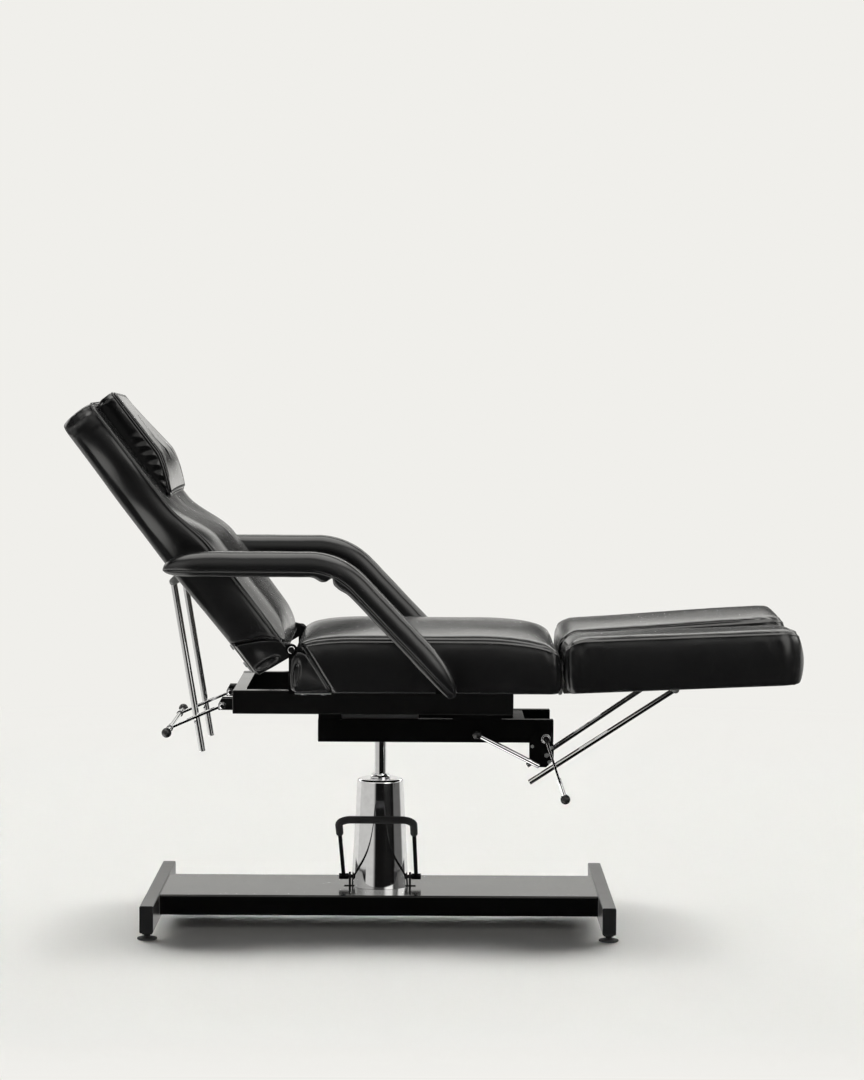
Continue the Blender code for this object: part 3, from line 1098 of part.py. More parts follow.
def main():
    for thing in list(bpy.data.objects):
        bpy.data.objects.remove(thing)
    chair = axis_point("chair", None, (COLUMN_X, 0, 0))
    build_base(chair)
    lift = build_column(chair)
    build_pedal(chair)
    turn = axis_point("turn_axis", lift, (0, 0, 0))
    build_frames(turn)
    build_seat(turn)
    hinge = build_back(turn)
    build_back_rods(hinge)
    build_release_handle(turn)
    build_legs(turn)
    build_armrests(hinge)


main()
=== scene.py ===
import math
import bpy
import bmesh
from mathutils import Matrix, Vector, noise


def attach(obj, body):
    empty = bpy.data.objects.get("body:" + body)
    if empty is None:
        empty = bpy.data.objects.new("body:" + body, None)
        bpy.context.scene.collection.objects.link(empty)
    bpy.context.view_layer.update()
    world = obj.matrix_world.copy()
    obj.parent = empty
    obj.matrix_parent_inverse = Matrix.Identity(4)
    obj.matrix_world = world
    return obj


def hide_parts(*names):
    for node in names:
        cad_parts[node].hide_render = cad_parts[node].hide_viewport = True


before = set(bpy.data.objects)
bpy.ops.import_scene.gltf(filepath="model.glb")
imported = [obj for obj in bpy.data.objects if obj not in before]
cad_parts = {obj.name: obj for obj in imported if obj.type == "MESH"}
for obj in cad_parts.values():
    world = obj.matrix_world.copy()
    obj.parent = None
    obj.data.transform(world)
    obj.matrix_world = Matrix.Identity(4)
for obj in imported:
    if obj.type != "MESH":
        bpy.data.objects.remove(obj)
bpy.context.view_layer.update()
print("frame loaded,", len(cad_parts), "nodes")

# Where the chair's own frames are: x from the lifting column, z from the floor
spots = {
    "columnX": -0.1192,
    "backHinge": (-0.192, 0.637), "backAngle": 52.6,
    "legHinge": (0.3985, 0.5405), "legAngle": {"near": 2.5, "far": 4.2},
    "armPivot": (-0.0743, 0.2933),
    "releasePivot": (-0.350, 0.501), "releaseDrop": 23.5,
    "leverShaft": (0.3706, 0.430), "leverLean": 18.06,
    "pedalShaft": 0.094,
}
sides = {"near": -1, "far": 1}


def frameAt(x, z, turn=0.0):
    return Matrix.Translation((spots["columnX"] + x, 0, z)) @ Matrix.Rotation(math.radians(turn), 4, "Y")


def shifted(matrix, spot):
    return matrix @ Matrix.Translation((spot[0], 0, spot[1]))


chairFrame = frameAt(0, 0)
backFrame = frameAt(*spots["backHinge"], spots["backAngle"] - 90)
legFrame = {side: frameAt(*spots["legHinge"], -spots["legAngle"][side]) for side in sides}
armAt = shifted(backFrame, spots["armPivot"]).translation
armFrame = Matrix.Translation(armAt)
releaseFrame = frameAt(*spots["releasePivot"], 90 - spots["releaseDrop"])
leverFrame = frameAt(*spots["leverShaft"], -spots["leverLean"])


# Finishes

class Wire:
    def __init__(self, tree, socket):
        self.tree = tree
        self.socket = socket

    def maths(self, operation, first, second=0.0):
        node = self.tree.nodes.new("ShaderNodeMath")
        node.operation = operation
        for socket, value in zip(node.inputs, (first, second)):
            feed(self.tree, socket, value)
        return Wire(self.tree, node.outputs[0])

    def __add__(self, other):
        return self.maths("ADD", self, other)

    def __radd__(self, other):
        return self.maths("ADD", other, self)

    def __sub__(self, other):
        return self.maths("SUBTRACT", self, other)

    def __rsub__(self, other):
        return self.maths("SUBTRACT", other, self)

    def __mul__(self, other):
        return self.maths("MULTIPLY", self, other)

    def __rmul__(self, other):
        return self.maths("MULTIPLY", other, self)

    def least(self, other):
        return self.maths("MINIMUM", self, other)


def feed(tree, socket, value):
    if isinstance(value, Wire):
        tree.links.new(value.socket, socket)
    else:
        socket.default_value = value


class Graph:
    def __init__(self, tree):
        self.tree = tree

    def add(self, kind, settings=None, **sockets):
        node = self.tree.nodes.new(kind)
        for key, value in (settings or {}).items():
            setattr(node, key, value)
        return self.plug(node, **sockets)

    def plug(self, node, **sockets):
        for name, value in sockets.items():
            feed(self.tree, node.inputs[name.replace("_", " ")], value)
        return node

    def out(self, node, name=0):
        return Wire(self.tree, node.outputs[name])

    def split(self, vector):
        return [Wire(self.tree, socket) for socket in self.add("ShaderNodeSeparateXYZ", Vector=vector).outputs]

    def ramp(self, value, low, high):
        return self.out(self.add("ShaderNodeMapRange", {"interpolation_type": "SMOOTHSTEP"},
                                 Value=value, From_Min=low, From_Max=high))

    def window(self, value, first, second, third, fourth):
        return self.ramp(value, first, second) * (1 - self.ramp(value, third, fourth))

    def blend(self, factor, dark, light):
        node = self.add("ShaderNodeMix", {"data_type": "RGBA"}, Factor=factor, A=(*dark, 1), B=(*light, 1))
        return self.out(node, "Result")

    def choose(self, factor, first, second):
        node = self.add("ShaderNodeMixShader", Fac=factor)
        for socket, shader in zip(node.inputs[1:], (first, second)):
            self.tree.links.new(shader.outputs[0], socket)
        return node


class Finish(Graph):
    def __init__(self, name, **constants):
        self.material = bpy.data.materials.new(name)
        self.material.use_nodes = True
        super().__init__(self.material.node_tree)
        self.shader = self.tree.nodes["Principled BSDF"]
        self.place = self.out(self.add("ShaderNodeTexCoord"), "Object")
        self.plug(self.shader, **constants)

    def speckle(self, scale, detail=2.0, rough=0.5, stretch=None):
        place = self.place
        if stretch:
            place = self.out(self.add("ShaderNodeMapping", Vector=place, Scale=stretch))
        node = self.add("ShaderNodeTexNoise", Vector=place, Scale=scale, Detail=detail, Roughness=rough)
        return self.out(node, "Fac")

    def cells(self, scale, feature="SMOOTH_F1"):
        node = self.add("ShaderNodeTexVoronoi", {"feature": feature}, Vector=self.place, Scale=scale)
        return self.out(node, "Distance")

    def bump(self, height, strength, distance, **under):
        return self.out(self.add("ShaderNodeBump", Strength=strength, Distance=distance, Height=height, **under))

    def surface(self, **sockets):
        self.plug(self.shader, **sockets)
        return self.material


vinylLook = {"dark": (0.010, 0.010, 0.0105), "light": (0.018, 0.018, 0.019), "roughness": 0.22, "grain": 700,
             "gloss": 0.45, "relief": 1.0}


def makeVinyl(name, look):
    finish = Finish(name, Specular_IOR_Level=look["gloss"])
    grain = finish.cells(look["grain"])
    pores = finish.speckle(look["grain"] * 2.6, 2.0)
    creases = finish.speckle(46, 4.0, 0.6)
    drift = finish.speckle(7, 3.0)
    fine = finish.bump(grain + pores * 0.4, 0.09 * look["relief"], 0.0004)
    return finish.surface(Base_Color=finish.blend(drift * 0.6 + grain * 0.5, look["dark"], look["light"]),
                          Roughness=look["roughness"] + (drift - 0.5) * 0.10 + (grain - 0.4) * 0.08,
                          Normal=finish.bump(creases, 0.05 * look["relief"], 0.002, Normal=fine))


def makePaint(name, dark, light, roughness, gloss, peel=0.05):
    finish = Finish(name, Specular_IOR_Level=gloss)
    drift = finish.speckle(11, 3.0)
    orangePeel = finish.speckle(420, 2.0)
    return finish.surface(Base_Color=finish.blend(drift, dark, light), Roughness=roughness + (drift - 0.5) * 0.06,
                          Normal=finish.bump(orangePeel, peel, 0.0005))


def makeMetal(name, dark, light, roughness, swing, scale=60, grainScale=900, bump=0.02):
    finish = Finish(name, Metallic=1.0)
    smear = finish.speckle(scale, 3.0, 0.55)
    grain = finish.speckle(grainScale, 2.0)
    return finish.surface(Base_Color=finish.blend(smear, dark, light), Roughness=roughness + (smear - 0.5) * swing,
                          Normal=finish.bump(grain, bump, 0.0003))


def makePlywood(name):
    finish = Finish(name, Specular_IOR_Level=0.25)
    grain = finish.speckle(30, 6.0, 0.65, (0.6, 9.0, 9.0))
    pores = finish.speckle(220, 2.0, 0.5, (0.25, 3.0, 3.0))
    return finish.surface(Base_Color=finish.blend(grain, (0.010, 0.009, 0.008), (0.040, 0.036, 0.032)),
                          Roughness=0.58 + (grain - 0.5) * 0.2, Normal=finish.bump(grain + pores * 0.5, 0.3, 0.0006))


def makeFoam(name):
    finish = Finish(name, Specular_IOR_Level=0.2)
    pores = finish.cells(900, "F1")
    drift = finish.speckle(30, 3.0)
    colour = finish.blend(pores * 0.8 + drift * 0.3, (0.006, 0.006, 0.006), (0.032, 0.032, 0.033))
    return finish.surface(Base_Color=colour, Roughness=0.80 + (drift - 0.5) * 0.1,
                          Normal=finish.bump(pores, 0.6, 0.0006))


vinyl = makeVinyl("black_vinyl", vinylLook)
pillowVinyl = makeVinyl("smooth_pillow_vinyl", {**vinylLook, "roughness": 0.13, "relief": 0.3})
blackPaint = makePaint("black_gloss_paint", (0.003, 0.003, 0.003), (0.006, 0.006, 0.006), 0.22, 0.12)
platePaint = makePaint("smooth_black_paint", (0.008, 0.008, 0.008), (0.012, 0.012, 0.012), 0.14, 0.32, 0.02)
barPaint = makePaint("end_bar_paint", (0.020, 0.020, 0.021), (0.028, 0.028, 0.029), 0.30, 0.30)
greyPaint = makePaint("grey_plate_paint", (0.045, 0.045, 0.046), (0.065, 0.065, 0.066), 0.35, 0.3)
chrome = makeMetal("polished_chrome", (0.70, 0.70, 0.71), (0.84, 0.84, 0.85), 0.06, 0.05)
zinc = makeMetal("zinc_plate", (0.42, 0.43, 0.44), (0.60, 0.60, 0.59), 0.34, 0.18, 90)
castIron = makeMetal("pump_casting", (0.06, 0.06, 0.06), (0.12, 0.12, 0.12), 0.6, 0.1, 60, 300, 0.3)
knobPlastic = makePaint("knob_plastic", (0.010, 0.010, 0.010), (0.018, 0.018, 0.018), 0.26, 0.45, 0.02)
rubber = makePaint("foot_rubber", (0.008, 0.008, 0.008), (0.016, 0.016, 0.016), 0.6, 0.3, 0.15)
plywood = makePlywood("stained_plywood")
foam = makeFoam("foam_grip")
print("finishes made:", len(bpy.data.materials))


# Modelling helpers

def clearPick():
    if bpy.context.object and bpy.context.object.mode != "OBJECT":
        bpy.ops.object.mode_set(mode="OBJECT")
    bpy.ops.object.select_all(action="DESELECT")


def only(piece):
    clearPick()
    piece.select_set(True)
    bpy.context.view_layer.objects.active = piece
    return piece


def applyPlace(piece):
    only(piece)
    bpy.ops.object.transform_apply(location=True, rotation=True, scale=True)
    return piece


def applyAll(piece):
    only(piece)
    for modifier in list(piece.modifiers):
        bpy.ops.object.modifier_apply(modifier=modifier.name)
    return piece


def startPick(piece, kind):
    only(piece)
    mesh = piece.data
    for group in (mesh.vertices, mesh.edges, mesh.polygons):
        group.foreach_set("select", [False] * len(group))
    bpy.context.tool_settings.mesh_select_mode = (False, kind == "edges", kind == "faces")
    return mesh


def pickEdges(piece, test):
    mesh = startPick(piece, "edges")
    for edge in mesh.edges:
        edge.select = test(*(mesh.vertices[i].co for i in edge.vertices))
    bpy.ops.object.mode_set(mode="EDIT")


def pickFaces(piece, test):
    for face in startPick(piece, "faces").polygons:
        face.select = test(face)
    bpy.ops.object.mode_set(mode="EDIT")


def leaveEdit():
    bpy.ops.object.mode_set(mode="OBJECT")


def turnOutwards():
    bpy.ops.mesh.select_all(action="SELECT")
    bpy.ops.mesh.normals_make_consistent(inside=False)
    leaveEdit()


def roundBar(start, end, radius, rim=0.001, ring=40):
    start, end = Vector(start), Vector(end)
    along = end - start
    clearPick()
    bpy.ops.mesh.primitive_cylinder_add(vertices=ring, radius=radius, depth=along.length, location=(start + end) / 2,
                                        rotation=along.to_track_quat("Z", "Y").to_euler())
    piece = applyPlace(bpy.context.object)
    if rim:
        axis = along.normalized()
        pickFaces(piece, lambda face: abs(face.normal.dot(axis)) > 0.99)
        bpy.ops.mesh.region_to_loop()
        bpy.ops.mesh.bevel(offset=rim, segments=3, affect="EDGES")
        leaveEdit()
    return piece


def alongY(ends, radius, rim=0.001, ring=40, x=0.0, z=0.0):
    return roundBar((x, ends[0], z), (x, ends[1], z), radius, rim, ring)


def boxBar(first, second, edge=0.0):
    low, high = (Vector(map(pick, first, second)) for pick in (min, max))
    clearPick()
    bpy.ops.mesh.primitive_cube_add(size=1, location=(low + high) / 2)
    piece = bpy.context.object
    piece.scale = high - low
    applyPlace(piece)
    if edge:
        bevel = piece.modifiers.new("edges", "BEVEL")
        bevel.width = edge
        bevel.segments = 3
        applyAll(piece)
    return piece


def cutPlate(outline, first, second, edge=0.0008):
    low, high = sorted((first, second))
    clearPick()
    bpy.ops.mesh.primitive_circle_add(vertices=len(outline), radius=0.02, fill_type="NGON")
    plate = bpy.context.object
    for vertex, (x, z) in zip(plate.data.vertices, outline):
        vertex.co = (x, low, z)
    applyPlace(plate)
    bpy.ops.object.mode_set(mode="EDIT")
    bpy.ops.mesh.select_all(action="SELECT")
    bpy.ops.mesh.extrude_region_move(TRANSFORM_OT_translate={"value": (0, high - low, 0)})
    turnOutwards()
    bevel = plate.modifiers.new("edges", "BEVEL")
    bevel.width = edge
    bevel.segments = 2
    bevel.limit_method = "ANGLE"
    return applyAll(plate)


def lathe(centre, profile, ring=64):
    cx, cy = centre
    (radius, z), (nextRadius, nextZ) = profile[:2]
    clearPick()
    bpy.ops.mesh.primitive_cylinder_add(vertices=ring, radius=radius, depth=nextZ - z,
                                        location=(cx, cy, (z + nextZ) / 2))
    piece = applyPlace(bpy.context.object)
    pickFaces(piece, lambda face: face.normal.z > 0.9)
    for number, (nextRadius, nextZ) in enumerate(profile[1:]):
        if number:
            bpy.ops.mesh.extrude_region_move(TRANSFORM_OT_translate={"value": (0, 0, nextZ - z)})
        share = nextRadius / radius
        bpy.ops.transform.resize(value=(share, share, 1), center_override=(cx, cy, nextZ))
        radius, z = nextRadius, nextZ
    turnOutwards()
    return piece


def cut(piece, tool):
    boolean = piece.modifiers.new("cut", "BOOLEAN")
    boolean.operation = "DIFFERENCE"
    boolean.object = tool
    boolean.solver = "EXACT"
    applyAll(piece)
    bpy.data.objects.remove(tool)
    return piece


def joinUp(parts):
    clearPick()
    for part in parts:
        part.select_set(True)
    bpy.context.view_layer.objects.active = parts[0]
    bpy.ops.object.join()
    return bpy.context.object


def moveBy(piece, matrix):
    piece.data.transform(matrix)
    piece.data.update()
    return piece


def tube(path, radius, ring=16, closed=False):
    clearPick()
    bpy.ops.curve.primitive_nurbs_path_add()
    line = bpy.context.object
    line.data.splines.clear()
    spline = line.data.splines.new("POLY")
    spline.points.add(len(path) - 1)
    for point, spot in zip(spline.points, path):
        point.co = (*spot, 1)
    spline.use_cyclic_u = closed
    line.location = (0, 0, 0)
    line.data.dimensions = "3D"
    line.data.bevel_depth = radius
    line.data.bevel_resolution = ring // 4
    line.data.use_fill_caps = not closed
    only(line)
    bpy.ops.object.convert(target="MESH")
    piece = bpy.context.object
    bpy.ops.object.mode_set(mode="EDIT")
    bpy.ops.mesh.select_all(action="SELECT")
    bpy.ops.mesh.remove_doubles(threshold=0.00001)
    turnOutwards()
    return piece


def skin(name, rings, turnFirst=False):
    # a closed form over rings of points, capped at both ends
    size = len(rings[0])
    count = len(rings) * size
    faces = [(r + i, r + (i + 1) % size, r + size + (i + 1) % size, r + size + i)
             for r in range(0, count - size, size) for i in range(size)]
    faces += [tuple(range(size))[::-1 if turnFirst else 1], tuple(range(count - size, count))]
    mesh = bpy.data.meshes.new(name)
    mesh.from_pydata([tuple(point) for ring in rings for point in ring], [], faces)
    piece = bpy.data.objects.new(name, mesh)
    bpy.context.scene.collection.objects.link(piece)
    bm = bmesh.new()
    bm.from_mesh(mesh)
    bmesh.ops.triangulate(bm, faces=[face for face in bm.faces if len(face.verts) > 4])
    bmesh.ops.recalc_face_normals(bm, faces=bm.faces)
    bm.to_mesh(mesh)
    bm.free()
    return piece


def smoothOver(piece):
    only(piece)
    finer = piece.modifiers.new("smooth", "SUBSURF")
    finer.levels = finer.render_levels = 1
    return applyAll(piece)


def dress(piece, name, body, finish, replaced=(), angle=35):
    piece.name = name
    piece.data.name = name
    piece.data.materials.clear()
    piece.data.materials.append(finish)
    only(piece)
    bpy.ops.object.shade_smooth_by_angle(angle=math.radians(angle))
    if angle < 50:
        flats = piece.modifiers.new("flats", "WEIGHTED_NORMAL")
        flats.keep_sharp = True
        applyAll(piece)
    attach(piece, body)
    if replaced:
        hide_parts(*replaced)
    return piece


# CAD solids that stay, with their finishes

keptFinishes = {
    "lower_frame": blackPaint, "upper_frame": platePaint, "swivel_hub": blackPaint, "mounting_plate": greyPaint,
    "seat_board": plywood, "back_board": plywood, "leg_board_near": plywood, "leg_board_far": plywood,
    "pump_body": castIron,
}
blackNodes = ("armrest_bar", "back_strap", "far_lever_crank", "pedal_frame", "base_plate")
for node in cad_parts:
    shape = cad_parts[node].data
    shape.materials.clear()
    shape.materials.append(blackPaint if node.startswith(blackNodes) else keptFinishes.get(node, zinc))
print("kept solids painted")


# Base

base = {"length": 1.042, "barLength": 0.620, "barWidth": 0.030, "barTop": 0.077, "barBottom": 0.017, "barEdge": 0.003,
        "capInset": 0.0016, "plateTop": 0.074, "plateWidth": 0.288, "flange": 0.045, "sheet": 0.003, "bend": 0.005,
        "footFromEnd": 0.024, "lugX": 0.0685, "lugHalf": 0.0025, "lugReach": 0.010, "lugFoot": (0.013, 0.012, 0.002),
        "foot": [(0.0200, 0.0), (0.0216, 0.0010), (0.0220, 0.0026), (0.0212, 0.0044), (0.0150, 0.0060),
                 (0.0118, 0.0066), (0.0112, 0.0072), (0.0072, 0.0076), (0.0070, 0.0082), (0.0070, 0.0112),
                 (0.0110, 0.0114), (0.0114, 0.0120), (0.0114, 0.0154), (0.0110, 0.0160), (0.0080, 0.0162),
                 (0.0080, 0.0167)]}


def buildEndBars():
    width, half = base["barWidth"], base["barLength"] / 2
    for name, end in (("rear", -1), ("front", 1)):
        middle = end * (base["length"] - width) / 2
        bar = boxBar((middle - width / 2, -half, base["barBottom"]), (middle + width / 2, half, base["barTop"]))
        pickEdges(bar, lambda a, b: abs(a.y - b.y) > 0.1)
        bpy.ops.mesh.bevel(offset=base["barEdge"], segments=4, affect="EDGES")
        leaveEdit()
        pickFaces(bar, lambda face: abs(face.normal.y) > 0.9)
        bpy.ops.mesh.inset(thickness=base["capInset"], depth=-0.0004)      # plug pressed into the tube's end
        bpy.ops.mesh.inset(thickness=0.0006, depth=0.0004)
        leaveEdit()
        dress(moveBy(bar, chairFrame), name + "_bar_tube", "base", barPaint, [name + "_bar"])
        for side, sign in sides.items():
            foot = lathe((middle, sign * (half - base["footFromEnd"])), base["foot"])
            dress(moveBy(foot, chairFrame), "levelling_foot_%s_%s" % (name, side), "base", rubber,
                  ["foot_%s_%s" % (name, side)])


def buildBasePlate():
    reach = base["length"] / 2 - base["barWidth"] - 0.0003
    half, top = base["plateWidth"] / 2, base["plateTop"]
    sheet = boxBar((-reach, -half, top - base["flange"]), (reach, half, top))
    pickFaces(sheet, lambda face: face.normal.z < -0.9 or abs(face.normal.x) > 0.9)
    bpy.ops.mesh.delete(type="FACE")
    leaveEdit()
    pickEdges(sheet, lambda a, b: abs(a.x - b.x) > 0.1 and min(a.z, b.z) > top - 0.001)
    bpy.ops.mesh.bevel(offset=base["bend"], segments=6, affect="EDGES")
    leaveEdit()
    wall = sheet.modifiers.new("sheet", "SOLIDIFY")
    wall.thickness = base["sheet"]
    wall.offset = -1
    parts = [applyAll(sheet)]
    shaft, thick, deep = spots["pedalShaft"], base["lugHalf"], base["lugReach"]
    footX, footY, footZ = base["lugFoot"]
    for x in (-base["lugX"], base["lugX"]):      # lugs that carry the pedal's shaft
        parts.append(boxBar((x - thick, -deep, top - 0.001), (x + thick, deep, shaft), 0.0006))
        parts.append(roundBar((x - thick, 0, shaft), (x + thick, 0, shaft), deep, 0.0006))
        parts.append(boxBar((x - footX, -footY, top - 0.001), (x + footX, footY, top + footZ), 0.0006))
    dress(moveBy(joinUp(parts), chairFrame), "folded_base_plate", "base", platePaint, ["base_plate"])


# Hydraulic column

column = {"bottom": 0.0743, "top": 0.3203, "bottomRadius": 0.0645, "topRadius": 0.0525, "wall": 0.0016,
          "shaftWay": 0.0048, "ringBore": 0.01335, "pistonRadius": 0.013, "pistonLow": 0.1123, "pistonHigh": 0.446,
          "shoulder": [(0.0, 0.0065), (0.0004, 0.0045), (0.0018, 0.0022), (0.0042, 0.0006), (0.0070, 0.0)],
          "ring": [(0.0220, 0.0), (0.0230, 0.0008), (0.0230, 0.0046), (0.0224, 0.0054), (0.0208, 0.0058),
                   (0.0200, 0.0066), (0.0192, 0.0094), (0.0184, 0.0100)]}


def buildColumn():
    low, high, r0, r1 = column["bottom"], column["top"], column["bottomRadius"], column["topRadius"]
    wall, way = column["wall"], column["shaftWay"]
    shoulder = [(r1 - inset, high - drop) for inset, drop in column["shoulder"]]
    cover = lathe((0, 0), [(r0, low)] + shoulder + [(0.0200, high), (0.0188, high - 0.0004)], 128)
    cut(cover, lathe((0, 0), [(r0 - wall, low - 0.005), (r1 - wall, high - 0.008), (0.0165, high - 0.0016),
                              (0.0165, high + 0.01)], 96))
    cut(cover, boxBar((-0.1, -way, low - 0.01), (0.1, way, spots["pedalShaft"] + way)))
    dress(moveBy(cover, chairFrame), "conical_cover", "base", chrome, ["column_cover"], 30)

    seat = high + 0.0003
    ring = lathe((0, 0), [(radius, seat + up) for radius, up in column["ring"]], 96)
    cut(ring, lathe((0, 0), [(column["ringBore"], seat - 0.01), (column["ringBore"], seat + 0.02)], 64))
    dress(moveBy(ring, chairFrame), "seal_ring", "base", chrome, ["gland_ring"], 30)

    rod = roundBar((0, 0, column["pistonLow"]), (0, 0, column["pistonHigh"]), column["pistonRadius"], 0.0012, 96)
    dress(moveBy(rod, chairFrame), "lifting_rod", "lift", chrome, ["piston_rod"], 30)


# Foot pedal

pedal = {"angle": 34.5, "reach": 0.291, "legX": 0.0826, "bend": 0.026, "sway": 0.006, "bar": 0.0045, "shaft": 0.004,
         "grip": 0.0083, "gripOnLeg": 0.040, "sleeve": 0.0068, "sleeveInner": 0.0716, "sleeveOuter": 0.0936,
         "collar": 0.0064}


def pedalPath(start, steps):
    lean = math.radians(pedal["angle"])
    out = Vector((0, -math.cos(lean), math.sin(lean)))
    bend = pedal["bend"]
    straight, middle = pedal["reach"] - bend, pedal["legX"] - bend
    right = [(pedal["legX"], start + (straight - start) * i / 4) for i in range(4)]
    right += [(middle + bend * math.cos(a), straight + bend * math.sin(a))
              for a in (i * math.pi / 2 / steps for i in range(steps + 1))]
    plan = [(-x, reach) for x, reach in right] + right[::-1]
    return [Vector((x - pedal["sway"] * reach / pedal["reach"], 0, spots["pedalShaft"])) + out * reach
            for x, reach in plan]


def buildPedal():
    z, inner, outer = spots["pedalShaft"], pedal["sleeveInner"], pedal["sleeveOuter"]
    parts = [tube(pedalPath(0.0, 12), pedal["bar"], 24), roundBar((-outer, 0, z), (outer, 0, z), pedal["shaft"])]
    parts += [roundBar((end * inner, 0, z), (end * outer, 0, z), pedal["sleeve"]) for end in (-1, 1)]
    dress(moveBy(joinUp(parts), chairFrame), "pedal_bar", "pedal", blackPaint, ["pedal_frame"])
    path = pedalPath(pedal["reach"] - pedal["bend"] - pedal["gripOnLeg"], 14)
    collars = []
    for end, after in ((path[0], path[1]), (path[-1], path[-2])):
        along = (after - end).normalized()
        collars.append(tube([end - along * 0.005, end - along * 0.0005], pedal["collar"], 24))
    dress(moveBy(joinUp(collars), chairFrame), "pedal_collars", "pedal", chrome)
    grip = tube(path, pedal["grip"], 24)
    for vertex in grip.data.vertices:
        vertex.co += vertex.normal * noise.noise(vertex.co * 60) * 0.0004
    dress(moveBy(grip, chairFrame), "pedal_foam", "pedal", foam, ["pedal_grip"], 60)


# Support rods and their brackets

rods = {"radius": 0.006, "backRadius": 0.0073, "eye": 0.0085, "eyeWidth": 0.0132, "bore": 0.0034,
        "backY": 0.145, "backLength": 0.385, "backPivot": (-0.128, 0.274), "backLock": 0.064,
        "legY": 0.142, "legLength": 0.387, "legPivot": (0.260, -0.0108), "legLock": 0.066}


def supportRod(top, through, length, y, radius):
    # hangs from its eye and points through the slot of its lever
    half = rods["eyeWidth"] / 2
    stem = roundBar((0, y, -0.5 * rods["eye"]), (0, y, -length), radius, 0.0014)
    eye = alongY((y - half, y + half), rods["eye"])
    cut(eye, alongY((y - 0.02, y + 0.02), rods["bore"], 0, 24))
    turn = Matrix.Rotation(math.atan2(top.x - through.x, top.z - through.z), 4, "Y")
    return moveBy(joinUp([stem, eye]), Matrix.Translation((top.x, 0, top.z)) @ turn)


def buildRods():
    backLock, legLock = (place @ Vector((0, 0, -rods[lock]))
                         for place, lock in ((releaseFrame, "backLock"), (leverFrame, "legLock")))
    for side, sign in sides.items():
        top = shifted(backFrame, rods["backPivot"]).translation
        rod = supportRod(top, backLock, rods["backLength"], sign * rods["backY"], rods["backRadius"])
        dress(rod, "back_support_" + side, "back_rods", chrome, ["back_rod_" + side])
        top = shifted(legFrame[side], rods["legPivot"]).translation
        rod = supportRod(top, legLock, rods["legLength"], sign * rods["legY"], rods["radius"])
        dress(rod, "leg_support_rod_" + side, "leg_support_" + side, chrome, ["leg_rod_" + side])


bracket = {"earRadius": 0.0085, "earInner": 0.0071, "earOuter": 0.0101, "neckHalf": 0.0125, "footHalf": 0.018,
           "foot": 0.003, "pin": 0.003, "pinHalf": 0.0115, "head": 0.0052, "headAt": (0.0098, 0.0125),
           "backHeight": 0.0311, "legHeight": 0.0123}


def rodBracket(y, height):
    # two ears on a folded foot, with the pin that the rod's eye hangs on
    radius, inner, outer, footHalf = (bracket[key] for key in ("earRadius", "earInner", "earOuter", "footHalf"))
    top = height - bracket["foot"] / 2
    outline = [(radius * math.cos(a), -radius * math.sin(a)) for a in (i * math.pi / 12 for i in range(13))]
    outline += [(-bracket["neckHalf"], top), (bracket["neckHalf"], top)]
    parts = [boxBar((-footHalf, y - outer, height - bracket["foot"]), (footHalf, y + outer, height), 0.0007)]
    for edge in (-1, 1):
        parts.append(cutPlate(outline, y + edge * inner, y + edge * outer, 0.0005))
        parts.append(alongY([y + edge * at for at in bracket["headAt"]], bracket["head"], 0.0007))
    parts.append(alongY((y - bracket["pinHalf"], y + bracket["pinHalf"]), bracket["pin"], 0))
    return joinUp(parts)


def buildBrackets():
    quarter = Matrix.Rotation(math.pi / 2, 4, "Y")
    for side, sign in sides.items():
        piece = rodBracket(sign * rods["backY"], bracket["backHeight"])
        moveBy(piece, shifted(backFrame, rods["backPivot"]) @ quarter)
        dress(piece, "back_rod_bracket_" + side, "backrest", zinc, ["back_clevis_" + side])
        piece = rodBracket(sign * rods["legY"], bracket["legHeight"])
        moveBy(piece, shifted(legFrame[side], rods["legPivot"]))
        dress(piece, "leg_rod_bracket_" + side, "leg_" + side, zinc, ["leg_clevis_" + side])


# Release levers

levers = {"plate": 0.0055, "plateWidth": 0.026, "knob": 0.011, "slotHalf": 0.0068, "legSlot": 0.048, "collar": 0.0105,
          "collarWidth": 0.033, "nearLength": 0.106, "nearBore": 0.0049, "nearTail": 0.6, "stem": 0.0050,
          "stemFrom": -0.095, "stemEnd": -0.141, "nearKnob": -0.145, "farLength": 0.099, "farBore": 0.0044,
          "shaft": 0.0045, "shaftEnds": (-0.1605, 0.1565), "head": 0.0078, "headEnds": (-0.1640, -0.1592),
          "socket": 0.0036, "socketEnds": (-0.170, -0.1612)}


def slottedPlate(y, length, slotAt, slotLength, slotHalf):
    half, wide = levers["plate"] / 2, levers["plateWidth"] / 2
    plate = boxBar((-half, y - wide, -length), (half, y + wide, -0.003), 0.0005)
    low, high = -slotAt - slotLength / 2, -slotAt + slotLength / 2
    return cut(plate, boxBar((-0.02, y - slotHalf, low), (0.02, y + slotHalf, high)))


def collarWithBore(y, radius, bore, width):
    collar = alongY((y - width / 2, y + width / 2), radius)
    return cut(collar, alongY((y - width, y + width), bore, 0, 32))


def knobBall(centre, along):
    radius = levers["knob"]
    ball = [(radius * math.cos(a), radius * math.sin(a)) for a in (math.radians(d) for d in range(-44, 86, 8))]
    knob = lathe((0, 0), [(0.0062, -0.0102), (0.0070, -0.0096), (0.0072, -0.0082)] + ball + [(0.0006, radius)], 40)
    turn = Vector(along).normalized().to_track_quat("Z", "Y").to_matrix().to_4x4()
    return moveBy(knob, Matrix.Translation(centre) @ turn)


release = {"arm": 0.128, "bar": 0.0053, "barEnd": 0.2385, "knobY": 0.2425, "slot": 0.045, "slotHalf": 0.0080,
           "collar": 0.009, "bore": 0.0044, "boss": 0.0078, "bossHalf": 0.014, "boltY": 0.0172, "washer": 0.0090,
           "bolt": 0.0066}


